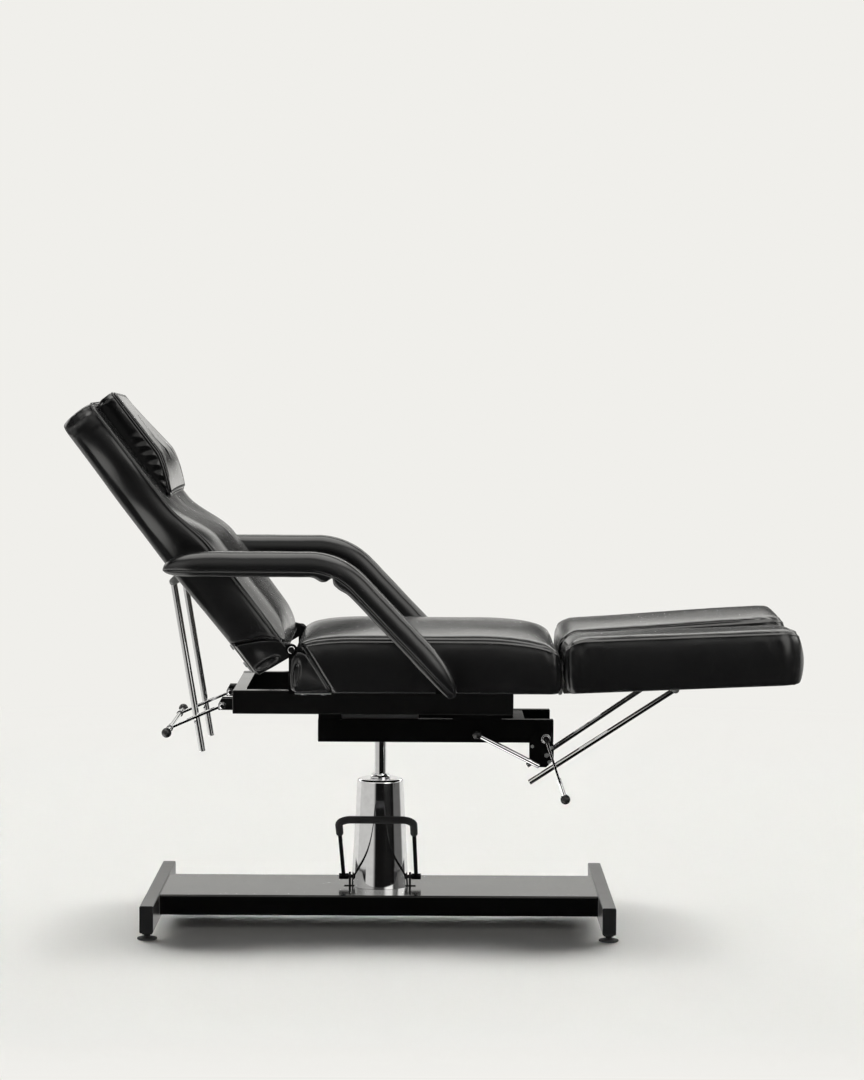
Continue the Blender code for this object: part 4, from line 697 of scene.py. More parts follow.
def buildRelease():
    arm = -release["arm"]
    handle = [alongY((-release["barEnd"], release["barEnd"]), release["bar"], 0.0008, z=arm)]
    for sign in sides.values():
        y, half = sign * rods["backY"], release["bossHalf"]
        handle.append(slottedPlate(y, release["arm"], rods["backLock"], release["slot"], release["slotHalf"]))
        handle.append(collarWithBore(y, release["collar"], release["bore"], levers["plateWidth"]))
        handle.append(alongY((y - half, y + half), release["boss"], z=arm))      # weld boss on the bar
    x, z = spots["releasePivot"]
    bolts = []
    for sign in sides.values():
        for edge in (-1, 1):
            y = sign * rods["backY"] + edge * release["boltY"]
            bolts.append(alongY((y, y + edge * 0.0020), release["washer"], 0.0008, 32, x, z))
            bolts.append(alongY((y + edge * 0.0012, y + edge * 0.0066), release["bolt"], 0.0026, 32, x, z))
    dress(moveBy(joinUp(bolts), chairFrame), "handle_bracket_bolts", "turn", chrome)
    dress(moveBy(joinUp(handle), releaseFrame), "rear_release_bar", "back_release", chrome, ["release_handle"])
    for side, sign in sides.items():
        knob = knobBall((0, sign * release["knobY"], arm), (0, sign, 0))
        dress(moveBy(knob, releaseFrame), "rear_release_ball_" + side, "back_release", knobPlastic,
              ["release_knob_" + side], 60)


def buildLevers():
    y, length = -rods["legY"], levers["nearLength"]
    plate = slottedPlate(y, length, rods["legLock"], levers["legSlot"], levers["slotHalf"])
    pickFaces(plate, lambda face: face.center.z < 0.002 - length and face.normal.z < -0.5)
    bpy.ops.transform.resize(value=(1, levers["nearTail"], 1), center_override=(0, y, -length))
    leaveEdit()
    collar = collarWithBore(y, levers["collar"], levers["nearBore"], levers["collarWidth"])
    stem = roundBar((0, y, levers["stemFrom"]), (0, y, levers["stemEnd"]), levers["stem"], 0.0008)
    lever = moveBy(joinUp([plate, collar, stem]), leverFrame)
    dress(lever, "near_leg_lever", "near_release", chrome, ["near_lever"])
    knob = moveBy(knobBall((0, y, levers["nearKnob"]), (0, 0, -1)), leverFrame)
    dress(knob, "near_leg_lever_ball", "near_release", knobPlastic, ["near_lever_knob"], 60)

    shaft = alongY(levers["shaftEnds"], levers["shaft"], 0.0008)
    head = alongY(levers["headEnds"], levers["head"])
    cut(head, alongY(levers["socketEnds"], levers["socket"], 0, 6))
    plate = slottedPlate(-y, levers["farLength"], rods["legLock"], levers["legSlot"], levers["slotHalf"])
    collar = collarWithBore(-y, levers["collar"], levers["farBore"], levers["collarWidth"])
    lever = moveBy(joinUp([shaft, head, plate, collar]), leverFrame)
    dress(lever, "leg_lever_shaft", "far_release", chrome, ["far_lever_shaft"])


crank = {"outline": [(0.013, 0.012), (0.019, -0.022), (0.019, -0.050), (0.003, -0.068), (-0.022, -0.068),
                     (-0.036, -0.052), (-0.036, -0.010), (-0.021, 0.012)], "faces": (-0.1232, -0.1162),
         "bore": 0.0048, "boltEnds": (-0.1260, -0.1222),
         "bolts": ((0.0030, -0.0410, 0.0056), (0.0142, -0.0235, 0.0040), (0.0090, -0.0560, 0.0044),
                  (-0.0290, -0.0210, 0.0040)), "bar": 0.0055, "barFrom": (-0.017, -0.1293, -0.063),
         "barTo": (-0.153, -0.1293, 0.006)}


def buildCrank():
    shaftFrame = frameAt(*spots["leverShaft"])
    plate = cutPlate(crank["outline"], *crank["faces"], 0.0012)
    cut(plate, alongY((-0.2, 0.2), crank["bore"], 0, 32))
    dress(moveBy(plate, shaftFrame), "far_leg_crank", "far_release", blackPaint, ["far_lever_crank"])
    bolts = [alongY(crank["boltEnds"], radius, 0.0006, 6, x, z) for x, z, radius in crank["bolts"]]
    dress(moveBy(joinUp(bolts), shaftFrame), "far_leg_crank_bolts", "far_release", zinc, angle=20)
    start, knob = Vector(crank["barFrom"]), Vector(crank["barTo"])
    along = (knob - start).normalized()
    bar = roundBar(start - along * 0.004, knob - along * 0.004, crank["bar"], 0.0014)
    dress(moveBy(bar, shaftFrame), "far_leg_lever_bar", "far_release", chrome, ["far_lever_bar"])
    dress(moveBy(knobBall(knob, along), shaftFrame), "far_leg_lever_ball", "far_release", knobPlastic,
          ["far_lever_knob"], 60)


# Back hinge ironwork

hinge = {"boltEnds": (0.2630, 0.2720), "headEnds": (0.2715, 0.2768), "socketEnds": (0.2740, 0.2800), "bolt": 0.005,
         "head": 0.0080, "socket": 0.0040, "ear": (0.2684, 0.2700), "eye": (0.2683, 0.2713), "eyeRadius": 0.013,
         "behind": 0.006, "ahead": 0.010, "earLow": 0.5395, "neck": 0.020, "footX": (-0.184, -0.105),
         "footY": (0.224, 0.2713), "footZ": (0.5393, 0.5420), "screwX": (-0.166, -0.122), "screwY": 0.246,
         "screw": [(0.0064, 0.5358), (0.0072, 0.5364), (0.0072, 0.5388), (0.0064, 0.5393)], "board": -0.0966,
         "flangeY": (0.222, 0.2615), "flangeUp": (0.012, 0.090),
         "flangeBolts": ((0.250, 0.082), (0.250, 0.034), (0.232, 0.022)), "flangeBolt": 0.0066}


def boxFrom(xs, ys, zs, edge, sign=1):
    low, high = zip(xs, [sign * y for y in ys], zs)
    return boxBar(low, high, edge)


def buildHinges():
    x, z = spots["backHinge"]
    span = (x - hinge["behind"], x + hinge["ahead"])
    for side, sign in sides.items():
        foot = boxFrom(hinge["footX"], hinge["footY"], hinge["footZ"], 0.0006, sign)
        dress(moveBy(foot, chairFrame), "hinge_foot_" + side, "turn", zinc, ["seat_hinge_" + side])

        eyeEnds = sorted(sign * y for y in hinge["eye"])
        parts = [boxFrom(span, hinge["ear"], (hinge["earLow"], z), 0.0004, sign),
                 alongY(eyeEnds, hinge["eyeRadius"], 0.0006, 40, x, z),
                 boxFrom(span, hinge["eye"], (z - hinge["neck"], z), 0.0006, sign)]
        dress(moveBy(joinUp(parts), chairFrame), "hinge_ear_" + side, "turn", blackPaint)

        pin, head, socket = ([sign * y for y in hinge[ends]] for ends in ("boltEnds", "headEnds", "socketEnds"))
        bolt = alongY(pin, hinge["bolt"], 0.0006, 40, x, z)
        head = alongY(head, hinge["head"], 0.0012, 40, x, z)
        cut(head, alongY(socket, hinge["socket"], 0, 6, x, z))
        dress(moveBy(joinUp([bolt, head]), chairFrame), "hinge_bolt_" + side, "turn", chrome)

        screws = [lathe((at, sign * hinge["screwY"]), hinge["screw"], 6) for at in hinge["screwX"]]
        dress(moveBy(joinUp(screws), chairFrame), "hinge_screws_" + side, "turn", zinc, angle=20)

        board = hinge["board"]
        flange = [boxFrom((board - 0.0028, board - 0.0003), hinge["flangeY"], hinge["flangeUp"], 0.0006, sign)]
        for y, u in hinge["flangeBolts"]:
            ends = [(board - off, sign * y, u) for off in (0.0024, 0.0075)]
            flange.append(roundBar(*ends, hinge["flangeBolt"], 0.0008, 6))
        dress(moveBy(joinUp(flange), backFrame), "strap_flange_" + side, "backrest", zinc, angle=20)


guide = {"pin": (0.5624, -0.2284), "half": 0.010, "low": 0.5430, "foot": 0.0027, "footY": (0.224, 0.2885),
         "tongueY": (0.2855, 0.2885), "studY": (0.2868, 0.2932), "stud": 0.004}


def buildGuides():
    # the seat's brackets with the pin that each armrest slides on
    x, z = armAt.x + guide["pin"][0], armAt.z + guide["pin"][1]
    low, half = guide["low"], guide["half"]
    outline = [(x - half, low), (x + half, low), (x + half, z), (x + half * 0.5, z + 0.009),
               (x - half * 0.5, z + 0.009), (x - half, z)]
    for side, sign in sides.items():
        foot = boxFrom((x - half, x + half), guide["footY"], (low, low + guide["foot"]), 0.0006, sign)
        tongue = cutPlate(outline, *(sign * y for y in guide["tongueY"]))
        stud = alongY([sign * y for y in guide["studY"]], guide["stud"], 0.0004, 40, x, z)
        dress(joinUp([foot, tongue, stud]), "armrest_guide_iron_" + side, "turn", blackPaint,
              ["armrest_guide_" + side])


# Upholstery

def step(low, high, value):
    t = min(max((value - low) / (high - low), 0.0), 1.0)      # also runs downwards, with low above high
    return t * t * (3 - 2 * t)


def bell(value, width):
    return math.exp(-(value / width) ** 2)


def rumple(spot, along, up, seed):
    return noise.noise(Vector((spot.x * along, spot.y * along, spot.z * up + seed)))


def roundEnd(distance, run, drop):
    # how far a seam has turned down at a distance from the end of its panel
    t = 1 - min(max(distance / run, 0.0), 1.0)
    return drop * (1 - math.sqrt(max(1 - t * t, 0.0)))


def roundedSide(height, length, rear, front):
    # a seam's height along its panel, turned down at both ends by a run and a drop
    return lambda along: height - roundEnd(length * along, *rear) - roundEnd(length * (1 - along), *front)


def roundOff(distance, length):
    t = min(max(distance / length, 0.0), 1.0)
    return math.sqrt(max(1 - (1 - t) ** 2, 0.0))


def planRing(shape, inset):
    # one closed line round a cushion, its points gathered towards the corners
    length, half, count = shape["length"], shape["width"] / 2 - inset, shape["perCorner"]
    arcs = []
    for quarter, (sx, sy) in enumerate(((1, 1), (-1, 1), (-1, -1), (1, -1))):
        corner = min(max(shape["frontCorner" if sx > 0 else "rearCorner"] - inset, 0.0015), half * 0.98)
        cx = (length - inset - corner) if sx > 0 else (inset + corner)
        cy = sy * (half - corner)
        arcs.append([(cx + corner * math.cos(a), cy + corner * math.sin(a))
                     for a in (math.pi / 2 * (quarter + i / count) for i in range(count + 1))])
    ring = []
    for quarter, arc in enumerate(arcs):
        ring += [(x, y, "corner", i / count, quarter) for i, (x, y) in enumerate(arc)]
        last, after = arc[-1], arcs[(quarter + 1) % 4][0]
        steps = shape["perEnd"] if quarter % 2 else shape["perSide"]
        for i in range(1, steps):
            t = i / steps
            t -= 0.5 * math.sin(2 * math.pi * t) / (2 * math.pi)
            ring.append((last[0] + (after[0] - last[0]) * t, last[1] + (after[1] - last[1]) * t, "edge", t, quarter))
    return ring


# Rows of a cushion from its underside up: inset, height and share of the lip, or inset and height
foldRows = [(0.0360, 0.0040, 0.0), (0.0345, -0.0040, 0.0), (0.0300, -0.0052, 0.05), (0.0200, -0.0048, 0.40),
            (0.0110, -0.0042, 0.85), (0.0050, -0.0030, 1.0), (0.0016, -0.0010, 0.70), (0.0003, 0.0030, 0.25)]
looseRows = [(0.0300, 0.0, 0.0), (0.0200, 0.0, 0.0), (0.0130, 0.0010, 0.0), (0.0090, 0.0040, 0.0),
             (0.0045, 0.0085, 0.0), (0.0010, 0.0140, 0.0)]
seamRows = [(0.0006, -0.0042), (0.0000, -0.0024), (0.0012, -0.0011), (0.0040, -0.0013), (0.0056, 0.0003),
            (0.0064, 0.0018)]
plainRows = [(0.0000, -0.0042), (0.0003, -0.0030), (0.0010, -0.0018), (0.0022, -0.0006), (0.0038, 0.0004),
             (0.0056, 0.0014)]
topShares = (0.030, 0.040, 0.055, 0.075, 0.10, 0.135, 0.18, 0.24, 0.31, 0.40, 0.50, 0.62, 0.76, 0.90, 0.985)
wallRows = 14


def seamHeight(shape, x, y):
    along = min(max(x / shape["length"], 0), 1)
    lean = shape["lean"](along) * (0.5 + shape["inward"] * y / shape["width"]) if "lean" in shape else 0.0
    return shape["side"](along) - lean


def topHeight(shape, along, x, y, inset):
    ends = min(x, shape["length"] - x)
    roll = 1 - (1 - min(max(inset - 0.004, 0) / shape["roll"], 1)) ** 2.3
    fall = 1 - (1 - min(max(ends, 0) / shape["endRoll"], 1)) ** 2.3
    dome = (1 - (2 * y / shape["width"]) ** 2) * fall
    return (shape["edgeRise"] * roll + shape["dome"] * dome) * shape["crown"](along)


def cushionRows(shape):
    rows = [("fold", inset, (z, share)) for inset, z, share in shape["underside"]]
    for t in (i / wallRows for i in range(wallRows)):
        rows.append(("wall", -shape["bulge"] * math.sin(math.pi * (0.08 + 0.92 * t)) ** 0.8, t))
    rows += [("edge", inset, (z, *plain)) for (inset, z), plain in zip(seamRows, plainRows)]
    return rows + [("top", max(t * shape["width"] / 2, 0.0078 + 0.02 * t), 0) for t in topShares]


def sewnCushion(name, shape):
    start = shape["underside"][-1][1] + 0.004
    rings, tags = [], []
    for kind, inset, z in cushionRows(shape):
        ring = []
        for x, y, part, t, quarter in planRing(shape, inset):
            along = min(max(x / shape["length"], 0), 1)
            side = seamHeight(shape, x, y)
            out = Vector(((0, 1), (-1, 0), (0, -1), (1, 0))[quarter]).to_3d()
            plainEnd = kind == "edge" and part == "edge" and quarter in shape.get("plainEnds", ())
            if kind == "fold":
                height = z[0] - z[1] * shape["lip"](along)
            elif kind == "wall":
                height = start + (side - 0.0042 - start) * z
            elif kind == "edge":
                height = side + (z[2] if plainEnd else z[0])
            else:
                height = side + 0.0018 + topHeight(shape, along, x, y, inset)
            push = out * (inset - z[1]) if plainEnd else Vector((0, 0, 0))
            if "puff" in shape and part == "edge" and quarter % 2 == 0 and kind in ("wall", "fold"):
                push += out * shape["puff"](along, z if kind == "wall" else 0.0)
            if part == "edge" and kind in ("wall", "edge"):
                push += out * -shape["draw"] * 4 * t * (1 - t)
            if kind == "wall" and (quarter == 3 or part == "corner" and x > shape["length"] - shape["frontCorner"]):
                push.x += shape.get("endBulge", 0.0) * math.sin(math.pi * z)
            ring.append(Vector((x, y, height)) + push)
            tags.append((kind, inset, part, t, quarter, along, z))
        rings.append(ring)
    return skin(name, rings, turnFirst=True), tags


# Sizes of the sewing in metres, and grains as waves of noise per metre
sewing = {"cornerReach": 0.035, "gatherGrain": 70, "slackGrain": (8, 11), "ruck": 0.0009, "ruckGrain": (90, 24),
          "rippleWave": 0.0245, "rippleIn": (0.04, 0.12), "rippleOut": (0.45, 0.68), "seamSink": 0.0024,
          "seamLip": 0.0011, "lipRuffle": 0.0013, "ruffleGrain": 95, "topFrom": 0.006, "topReach": 0.020,
          "topGrain": 55, "topSlack": 1.2, "topSlackGrain": 6}


def pucker(piece, tags, shape):
    # gathers beside the seams, sewn corners and the slack of the panels
    seed, moves = shape["seed"], []
    for vertex, (kind, inset, part, t, quarter, along, z) in zip(piece.data.vertices, tags):
        spot = vertex.co
        move, cornerward = 0.0, 1.0
        if part == "edge":
            length = shape["width"] if quarter % 2 else shape["length"]
            cornerward = bell(min(t, 1 - t) * length, sewing["cornerReach"])
        if kind == "wall":
            near = bell((1 - z) * 6, 1) * shape["gather"] * (0.5 + 1.6 * cornerward)
            move += near * rumple(spot, sewing["gatherGrain"], 0, 3.1 + seed)
            move += shape["slack"] * rumple(spot, *sewing["slackGrain"], seed)
            move += sewing["ruck"] * cornerward * rumple(spot, *sewing["ruckGrain"], seed)
            if "ripple" in shape and quarter % 2 == 0 and part == "edge":
                ripple = shape["ripple"] * step(*sewing["rippleIn"], along) * (1 - step(*sewing["rippleOut"], along))
                wave = math.sin(2 * math.pi * spot.x / sewing["rippleWave"] + 3 * z)
                move += ripple * math.sin(math.pi * z) * wave
            if part == "corner" and quarter in shape["cornerSeams"]:
                off = (t - 0.5) * shape["perCorner"]
                move -= sewing["seamSink"] * bell(off, 0.8)
                ruffle = noise.noise(Vector((spot.z * sewing["ruffleGrain"], quarter, seed)))
                move += bell(abs(off) - 2.0, 0.9) * (sewing["seamLip"] + sewing["lipRuffle"] * ruffle)
        elif kind == "top":
            near = bell(inset - sewing["topFrom"], sewing["topReach"]) * shape["gather"] * (0.4 + 1.6 * cornerward)
            move += 0.8 * near * rumple(spot, sewing["topGrain"], 0, 7.7 + seed)
            move += shape["slack"] * sewing["topSlack"] * rumple(spot, sewing["topSlackGrain"], 0, seed)
        moves.append(vertex.normal * move)
    for vertex, move in zip(piece.data.vertices, moves):
        vertex.co += move
    piece.data.update()


def insideBy(outline, x, z):
    # distance into a convex outline, negative outside
    pairs = list(zip(outline, outline[1:] + outline[:1]))
    turn = math.copysign(1, sum(a[0] * b[1] - b[0] * a[1] for a, b in pairs))
    return min(turn * ((b[0] - a[0]) * (z - a[1]) - (b[1] - a[1]) * (x - a[0])) / math.dist(a, b) for a, b in pairs)


tucks = {"fade": (-0.003, 0.004), "rollFrom": -0.012, "rollAt": -0.0055, "roll": 0.0012, "rollWidth": 0.0028,
         "pleats": 420, "pleatReach": 0.012, "sink": 0.0010, "crease": 0.0012}


def tuckIn(piece, shape):
    # vinyl folded flat against the ironwork at the lower corners, with a rolled edge round the fold
    for vertex in piece.data.vertices:
        spot = vertex.co
        y = abs(spot.y)
        outside = y - shape["wall"]
        if outside <= 0:
            continue
        depth = insideBy(shape["tuck"], spot.x, spot.z)
        keep = 1 - step(*tucks["fade"], depth)
        y = shape["wall"] + outside * keep
        if depth > tucks["rollFrom"]:
            y += tucks["roll"] * bell(depth - tucks["rollAt"], tucks["rollWidth"])
        if keep < 1:
            pleat = math.sin(spot.x * tucks["pleats"] + 3 * noise.noise(spot * 30))
            fold = pleat * bell(max(spot.x, 0), tucks["pleatReach"])
            crease = tucks["crease"] * fold - tucks["sink"] + tucks["crease"] * noise.noise(spot * 60)
            y += (1 - keep) * min(0.0, crease)
        spot.y = math.copysign(y, spot.y)
    piece.data.update()


def piping(shape, inset, lift, radius):
    path = [Vector((x, y, seamHeight(shape, x, y) + lift)) for x, y, *place in planRing(shape, inset)]
    return tube(path, radius, 12, closed=True)


seat = {"length": 0.585, "width": 0.560, "rearCorner": 0.022, "frontCorner": 0.022, "perCorner": 8, "perSide": 76,
        "perEnd": 60, "side": roundedSide(0.1105, 0.585, (0.130, 0.026), (0.180, 0.036)),
        "crown": lambda along: 1.0, "roll": 0.032, "endRoll": 0.070, "plainEnds": (3,), "edgeRise": 0.0065,
        "dome": 0.0155, "bulge": 0.0045, "draw": 0.002, "gather": 0.0015, "slack": 0.0016,
        "cornerSeams": (0, 1, 2, 3), "seed": 1.3, "underside": foldRows, "lip": lambda along: 0.0006, "wall": 0.2618,
        "start": (-0.188, 0.546),
        "tuck": [(-0.03, -0.016), (0.093, -0.016), (0.033, 0.086), (0.018, 0.106), (-0.03, 0.124)]}


def backPuff(along, t):
    # slack of the back's sides beside the waist and the pillow, t up the wall
    out = 0.0035 * bell(along - 0.57, 0.11) + 0.0025 * bell(along - 0.82, 0.09)
    tucked = 0.0010 + 0.0070 * bell(along - 0.57, 0.09) + 0.0045 * bell(along - 0.81, 0.08)
    return out * math.sin(math.pi * t) - (1 - t) ** 2 * tucked * step(0.12, 0.30, along)


back = {"length": 0.687, "width": 0.560, "rearCorner": 0.022, "frontCorner": 0.035, "perCorner": 8, "perSide": 96,
        "perEnd": 60, "side": lambda along: 0.0869 * (1 - 0.21 * step(0.40, 0.60, along)),
        "crown": lambda along: 1 - 0.85 * step(0.40, 0.60, along), "roll": 0.085, "endRoll": 0.09, "puff": backPuff,
        "edgeRise": 0.020, "dome": 0.008, "bulge": 0.0032, "draw": 0.002, "gather": 0.0009, "slack": 0.0020,
        "cornerSeams": (0, 3), "seed": 4.1, "underside": foldRows, "wall": 0.2618, "start": (-0.0929, 0.007),
        "lip": lambda along: 0.001 + 0.0095 * step(0.0, 0.5, along) - 0.0035 * step(0.6, 1.0, along),
        "tuck": [(0.089, -0.02), (0.052, 0.056), (0.004, 0.1086), (-0.03, 0.1086), (-0.03, -0.02)],
        "piping": (0.0006, -0.0006, 0.0015)}
legs = {"length": 0.519, "width": 0.272, "rearCorner": 0.022, "frontCorner": 0.050, "perCorner": 10, "perSide": 70,
        "perEnd": 30, "side": roundedSide(0.1115, 0.519, (0.048, 0.030), (0.040, 0.012)),
        "crown": lambda along: 1.0, "roll": 0.030, "plainEnds": (1,), "lean": lambda along: 0.011,
        "endRoll": 0.055, "edgeRise": 0.0045, "dome": 0.005, "bulge": 0.0045, "draw": 0.0016, "endBulge": 0.004,
        "gather": 0.0017, "slack": 0.0016, "cornerSeams": (1, 2), "seed": 2.2, "underside": foldRows,
        "lip": lambda along: 0.0006, "start": 0.012, "inner": 0.005, "bottom": 0.0055}
pillow = {"length": 0.257, "width": 0.390, "rearCorner": 0.012, "frontCorner": 0.016, "perCorner": 7, "perSide": 60,
          "perEnd": 60, "side": lambda along: 0.0560 - 0.0345 * (max(0.36 - along, 0.0) / 0.36) ** 1.30,
          "crown": lambda along: 1.0, "lean": lambda along: 0.017 * step(0.15, 1.0, along), "inward": -1,
          "roll": 0.03, "endRoll": 0.03, "edgeRise": 0.0015, "dome": 0.0015, "bulge": 0.003, "draw": 0.002,
          "gather": 0.0012, "slack": 0.0006, "ripple": 0.0022, "cornerSeams": (0, 1, 2, 3), "seed": 6.4,
          "underside": looseRows, "lip": lambda along: 0.0, "start": (-0.032249, 0.430),
          "welts": ((0.0, -0.0030, 0.0021), (0.0040, 0.0012, 0.0021))}


def upright(rear, low):
    # a cushion made lying flat, stood against the back with its top towards the sitter
    stand = Matrix(((0, 0, 1, 0), (0, -1, 0, 0), (1, 0, 0, 0), (0, 0, 0, 1)))
    return shifted(backFrame, (rear, low)) @ stand


def upholster(name, shape, matrix, body, node, finish=vinyl):
    piece, tags = sewnCushion(name, shape)
    pucker(piece, tags, shape)
    if "tuck" in shape:
        tuckIn(piece, shape)
    smoothOver(piece)
    dress(moveBy(piece, matrix), name, body, finish, [node], 60)


def buildUpholstery():
    upholster("seat_upholstery", seat, shifted(chairFrame, seat["start"]), "turn", "seat_cushion")
    place = upright(*back["start"])
    upholster("back_upholstery", back, place, "backrest", "back_cushion")
    welt = piping(back, *back["piping"])
    dress(moveBy(welt, place), "back_piping", "backrest", vinyl, (), 60)
    place = upright(*pillow["start"])
    upholster("pillow_upholstery", pillow, place, "backrest", "head_pillow", pillowVinyl)
    welts = joinUp([piping(pillow, *welt) for welt in pillow["welts"]])
    dress(moveBy(welts, place), "pillow_welts", "backrest", vinyl, (), 60)
    for side, sign in sides.items():
        shape = dict(legs, seed=legs["seed"] + sign, inward=-sign)
        middle = sign * (legs["inner"] + legs["width"] / 2)
        place = legFrame[side] @ Matrix.Translation((legs["start"], middle, legs["bottom"]))
        upholster("leg_upholstery_" + side, shape, place, "leg_" + side, "leg_cushion_" + side)


# Folds of vinyl over the hinge plates

facets = {"backOutline": [(-0.0955, 0.084), (-0.080, 0.080), (-0.060, 0.070), (-0.042, 0.060), (-0.024, 0.047),
                          (-0.010, 0.034), (0.000, 0.020), (0.009, 0.009), (0.0125, 0.0), (0.009, -0.009),
                          (0.000, -0.0125), (-0.020, -0.0105), (-0.060, -0.006), (-0.090, -0.001), (-0.0955, 0.006)],
          "backInner": 0.2626, "backFold": (-0.060, 0.008, 0.030, 0.0095, -10), "backOuter": 0.2666,
          "backSwell": 0.0100, "earGap": 0.2678, "earLine": (-0.218, 0.976),
          "seatOutline": [(-0.186, 0.630), (-0.172, 0.6315), (-0.152, 0.627), (-0.128, 0.592), (-0.103, 0.551),
                          (-0.106, 0.545), (-0.184, 0.5425), (-0.194, 0.550), (-0.196, 0.585), (-0.193, 0.615)],
          "seatInner": 0.2680, "seatFold": (-0.181, 0.583, 0.027, 0.0078, 84), "seatOuter": 0.2716,
          "seatSwell": 0.0095, "seatSeam": ((-0.152, 0.627), (-0.103, 0.551)),
          "rim": 0.0022, "rimWidth": 0.0014, "hollow": 0.0020, "crease": 0.0012, "creaseGrain": 40,
          "slackRun": (0.022, 0.040), "backRun": (0.034, 0.100), "earRun": (0.009, 0.024), "earRise": 0.020,
          "seatRun": (0.635, 0.535), "stitch": 0.0013, "stitchAt": 0.0070}


def foldedFacet(outline, outer, inner, sign):
    # rings that shrink towards the middle of the outline, and a flat back
    points = []
    for a, b in zip(outline, outline[1:] + outline[:1]):
        count = max(int(math.dist(a, b) / 0.0022), 1)
        points += [(a[0] + (b[0] - a[0]) * i / count, a[1] + (b[1] - a[1]) * i / count) for i in range(count)]
    mx, mz = (sum(values) / len(points) for values in zip(*points))

    def ring(share, height):
        spots = [(mx + (x - mx) * share, mz + (z - mz) * share) for x, z in points]
        return [(x, sign * height(x, z), z) for x, z in spots]

    def rolled(x, z):
        return inner + 0.001 + (outer(x, z) - inner - 0.001) * roundOff(insideBy(outline, x, z), 0.006)

    rings = [ring(share, lambda x, z: inner) for share in (0.5, 1.0)]
    rings += [ring(share, rolled) for share in [1.0, 0.99, 0.97, 0.94] + [0.90 - 0.04 * i for i in range(22)]]
    return smoothOver(skin("facet", rings))


def lensFold(x, z, fold):
    # a loop of slack vinyl: a raised rim round a hollow
    cx, cz, long, short, turn = fold
    a = math.radians(turn)
    along = ((x - cx) * math.cos(a) + (z - cz) * math.sin(a)) / long
    across = ((z - cz) * math.cos(a) - (x - cx) * math.sin(a)) / short
    reach = math.hypot(along, across)
    rim = facets["rim"] * bell((reach - 1) * short, facets["rimWidth"])
    return rim - facets["hollow"] * (1 - step(0.55, 1.0, reach))


def creased(first, second, seed):
    grain = facets["creaseGrain"]
    return facets["crease"] * noise.noise(Vector((first * grain, second * grain, seed)))


def backFacet(n, u):
    reach = math.hypot(n, u)
    slack = (lensFold(n, u, facets["backFold"]) + creased(n, u, 2.0)) * step(*facets["slackRun"], reach)
    fold = facets["backOuter"] + facets["backSwell"] * step(*facets["backRun"], reach) + slack
    # the distance past the hinge ear with the back laid down
    past = facets["earLine"][0] * n + facets["earLine"][1] * u
    return min(fold, facets["earGap"] + facets["earRise"] * step(*facets["earRun"], past))


def seatFacet(x, z):
    (ax, az), (bx, bz) = facets["seatSeam"]
    gap = abs((bx - ax) * (z - az) - (bz - az) * (x - ax)) / math.hypot(bx - ax, bz - az)
    stitch = -facets["stitch"] * bell(gap - facets["stitchAt"], facets["stitch"])
    swell = facets["seatSwell"] * step(*facets["seatRun"], z)
    return facets["seatOuter"] + swell + stitch + creased(x, z, 5.0) + lensFold(x, z, facets["seatFold"])


def buildFacets():
    for side, sign in sides.items():
        piece = moveBy(foldedFacet(facets["backOutline"], backFacet, facets["backInner"], sign), backFrame)
        dress(piece, "back_corner_fold_" + side, "backrest", vinyl, ["back_strap_" + side], 60)
        piece = moveBy(foldedFacet(facets["seatOutline"], seatFacet, facets["seatInner"], sign), chairFrame)
        dress(piece, "seat_corner_fold_" + side, "turn", vinyl, (), 60)


# Armrest pads

arm = {"innerY": 0.2900, "width": 0.0719, "depth": 0.054, "rear": 0.040, "rise": 0.004, "run": 0.338, "bend": 0.150,
       "slope": 46.3, "slopeLength": 0.386, "seam": -0.0125, "topNose": 0.105, "lowNose": 0.045, "tipTop": 0.130,
       "tipLow": 0.014, "slotAt": (0.5574, -0.2264), "slotAlong": (0.9265, -0.3763), "slotHalf": 0.032,
       "slotRadius": 0.0058, "slotDepth": 0.0040, "wave": 0.0006,
       "nicks": ((0.0065, -0.024, 0.016), (0.0050, 0.030, 0.022), (-0.0135, 0.0, 0.0055))}


def armPath():
    # level from the rear end, round the bend and straight down to the tip, with more points towards the ends
    slope, rise, bend = math.radians(arm["slope"]), arm["rise"], arm["bend"]
    tangent = bend * math.tan(slope / 2)
    start, stop = -arm["rear"], arm["run"] - tangent
    corners = [(start + (stop - start) * (i / 44) ** 1.35, rise) for i in range(44)]
    corners += [(stop + bend * math.sin(a), rise - bend * (1 - math.cos(a)))
                for a in (slope * i / 25 for i in range(26))]
    knee, down = Vector((arm["run"], rise)), Vector((math.cos(slope), -math.sin(slope)))
    here, end = knee + down * tangent, knee + down * arm["slopeLength"]
    corners += [here.lerp(end, 1 - (1 - i / 56) ** 1.3) for i in range(1, 57)]
    return [Vector((x, 0, z)) for x, z in corners]


def armSection(upper, lower, width):
    # (across, out): seam level is 0, out runs from the inner face
    half = width / 2
    turns = [(math.cos(a), math.sin(a)) for a in (math.pi * i / 18 for i in range(19))]
    points = [(upper * abs(s) ** 0.75, half + (half - 0.0004) * math.copysign(abs(c) ** 0.62, c)) for c, s in turns]
    edge = min(0.008, lower * 0.45, half * 0.5)
    deep = min(0.0030, lower * 0.3)
    inner = [(-0.0006, deep), (-0.0018, deep), (-0.0030, 0.0006), (-0.0042, 0.0), (-max(lower * 0.5, 0.0046), 0.0),
             (-(lower - edge), 0.0004)]
    inner += [(-(lower - edge) - edge * math.sin(a), 0.0004 + edge * (1 - math.cos(a)))
              for a in (math.pi / 8, math.pi / 4, 3 * math.pi / 8)]
    inner += [(-lower, 0.0004 + edge), (-lower, half * 0.6), (-lower, half)]
    return points + inner + [(across, width - out) for across, out in reversed(inner[:-1])]


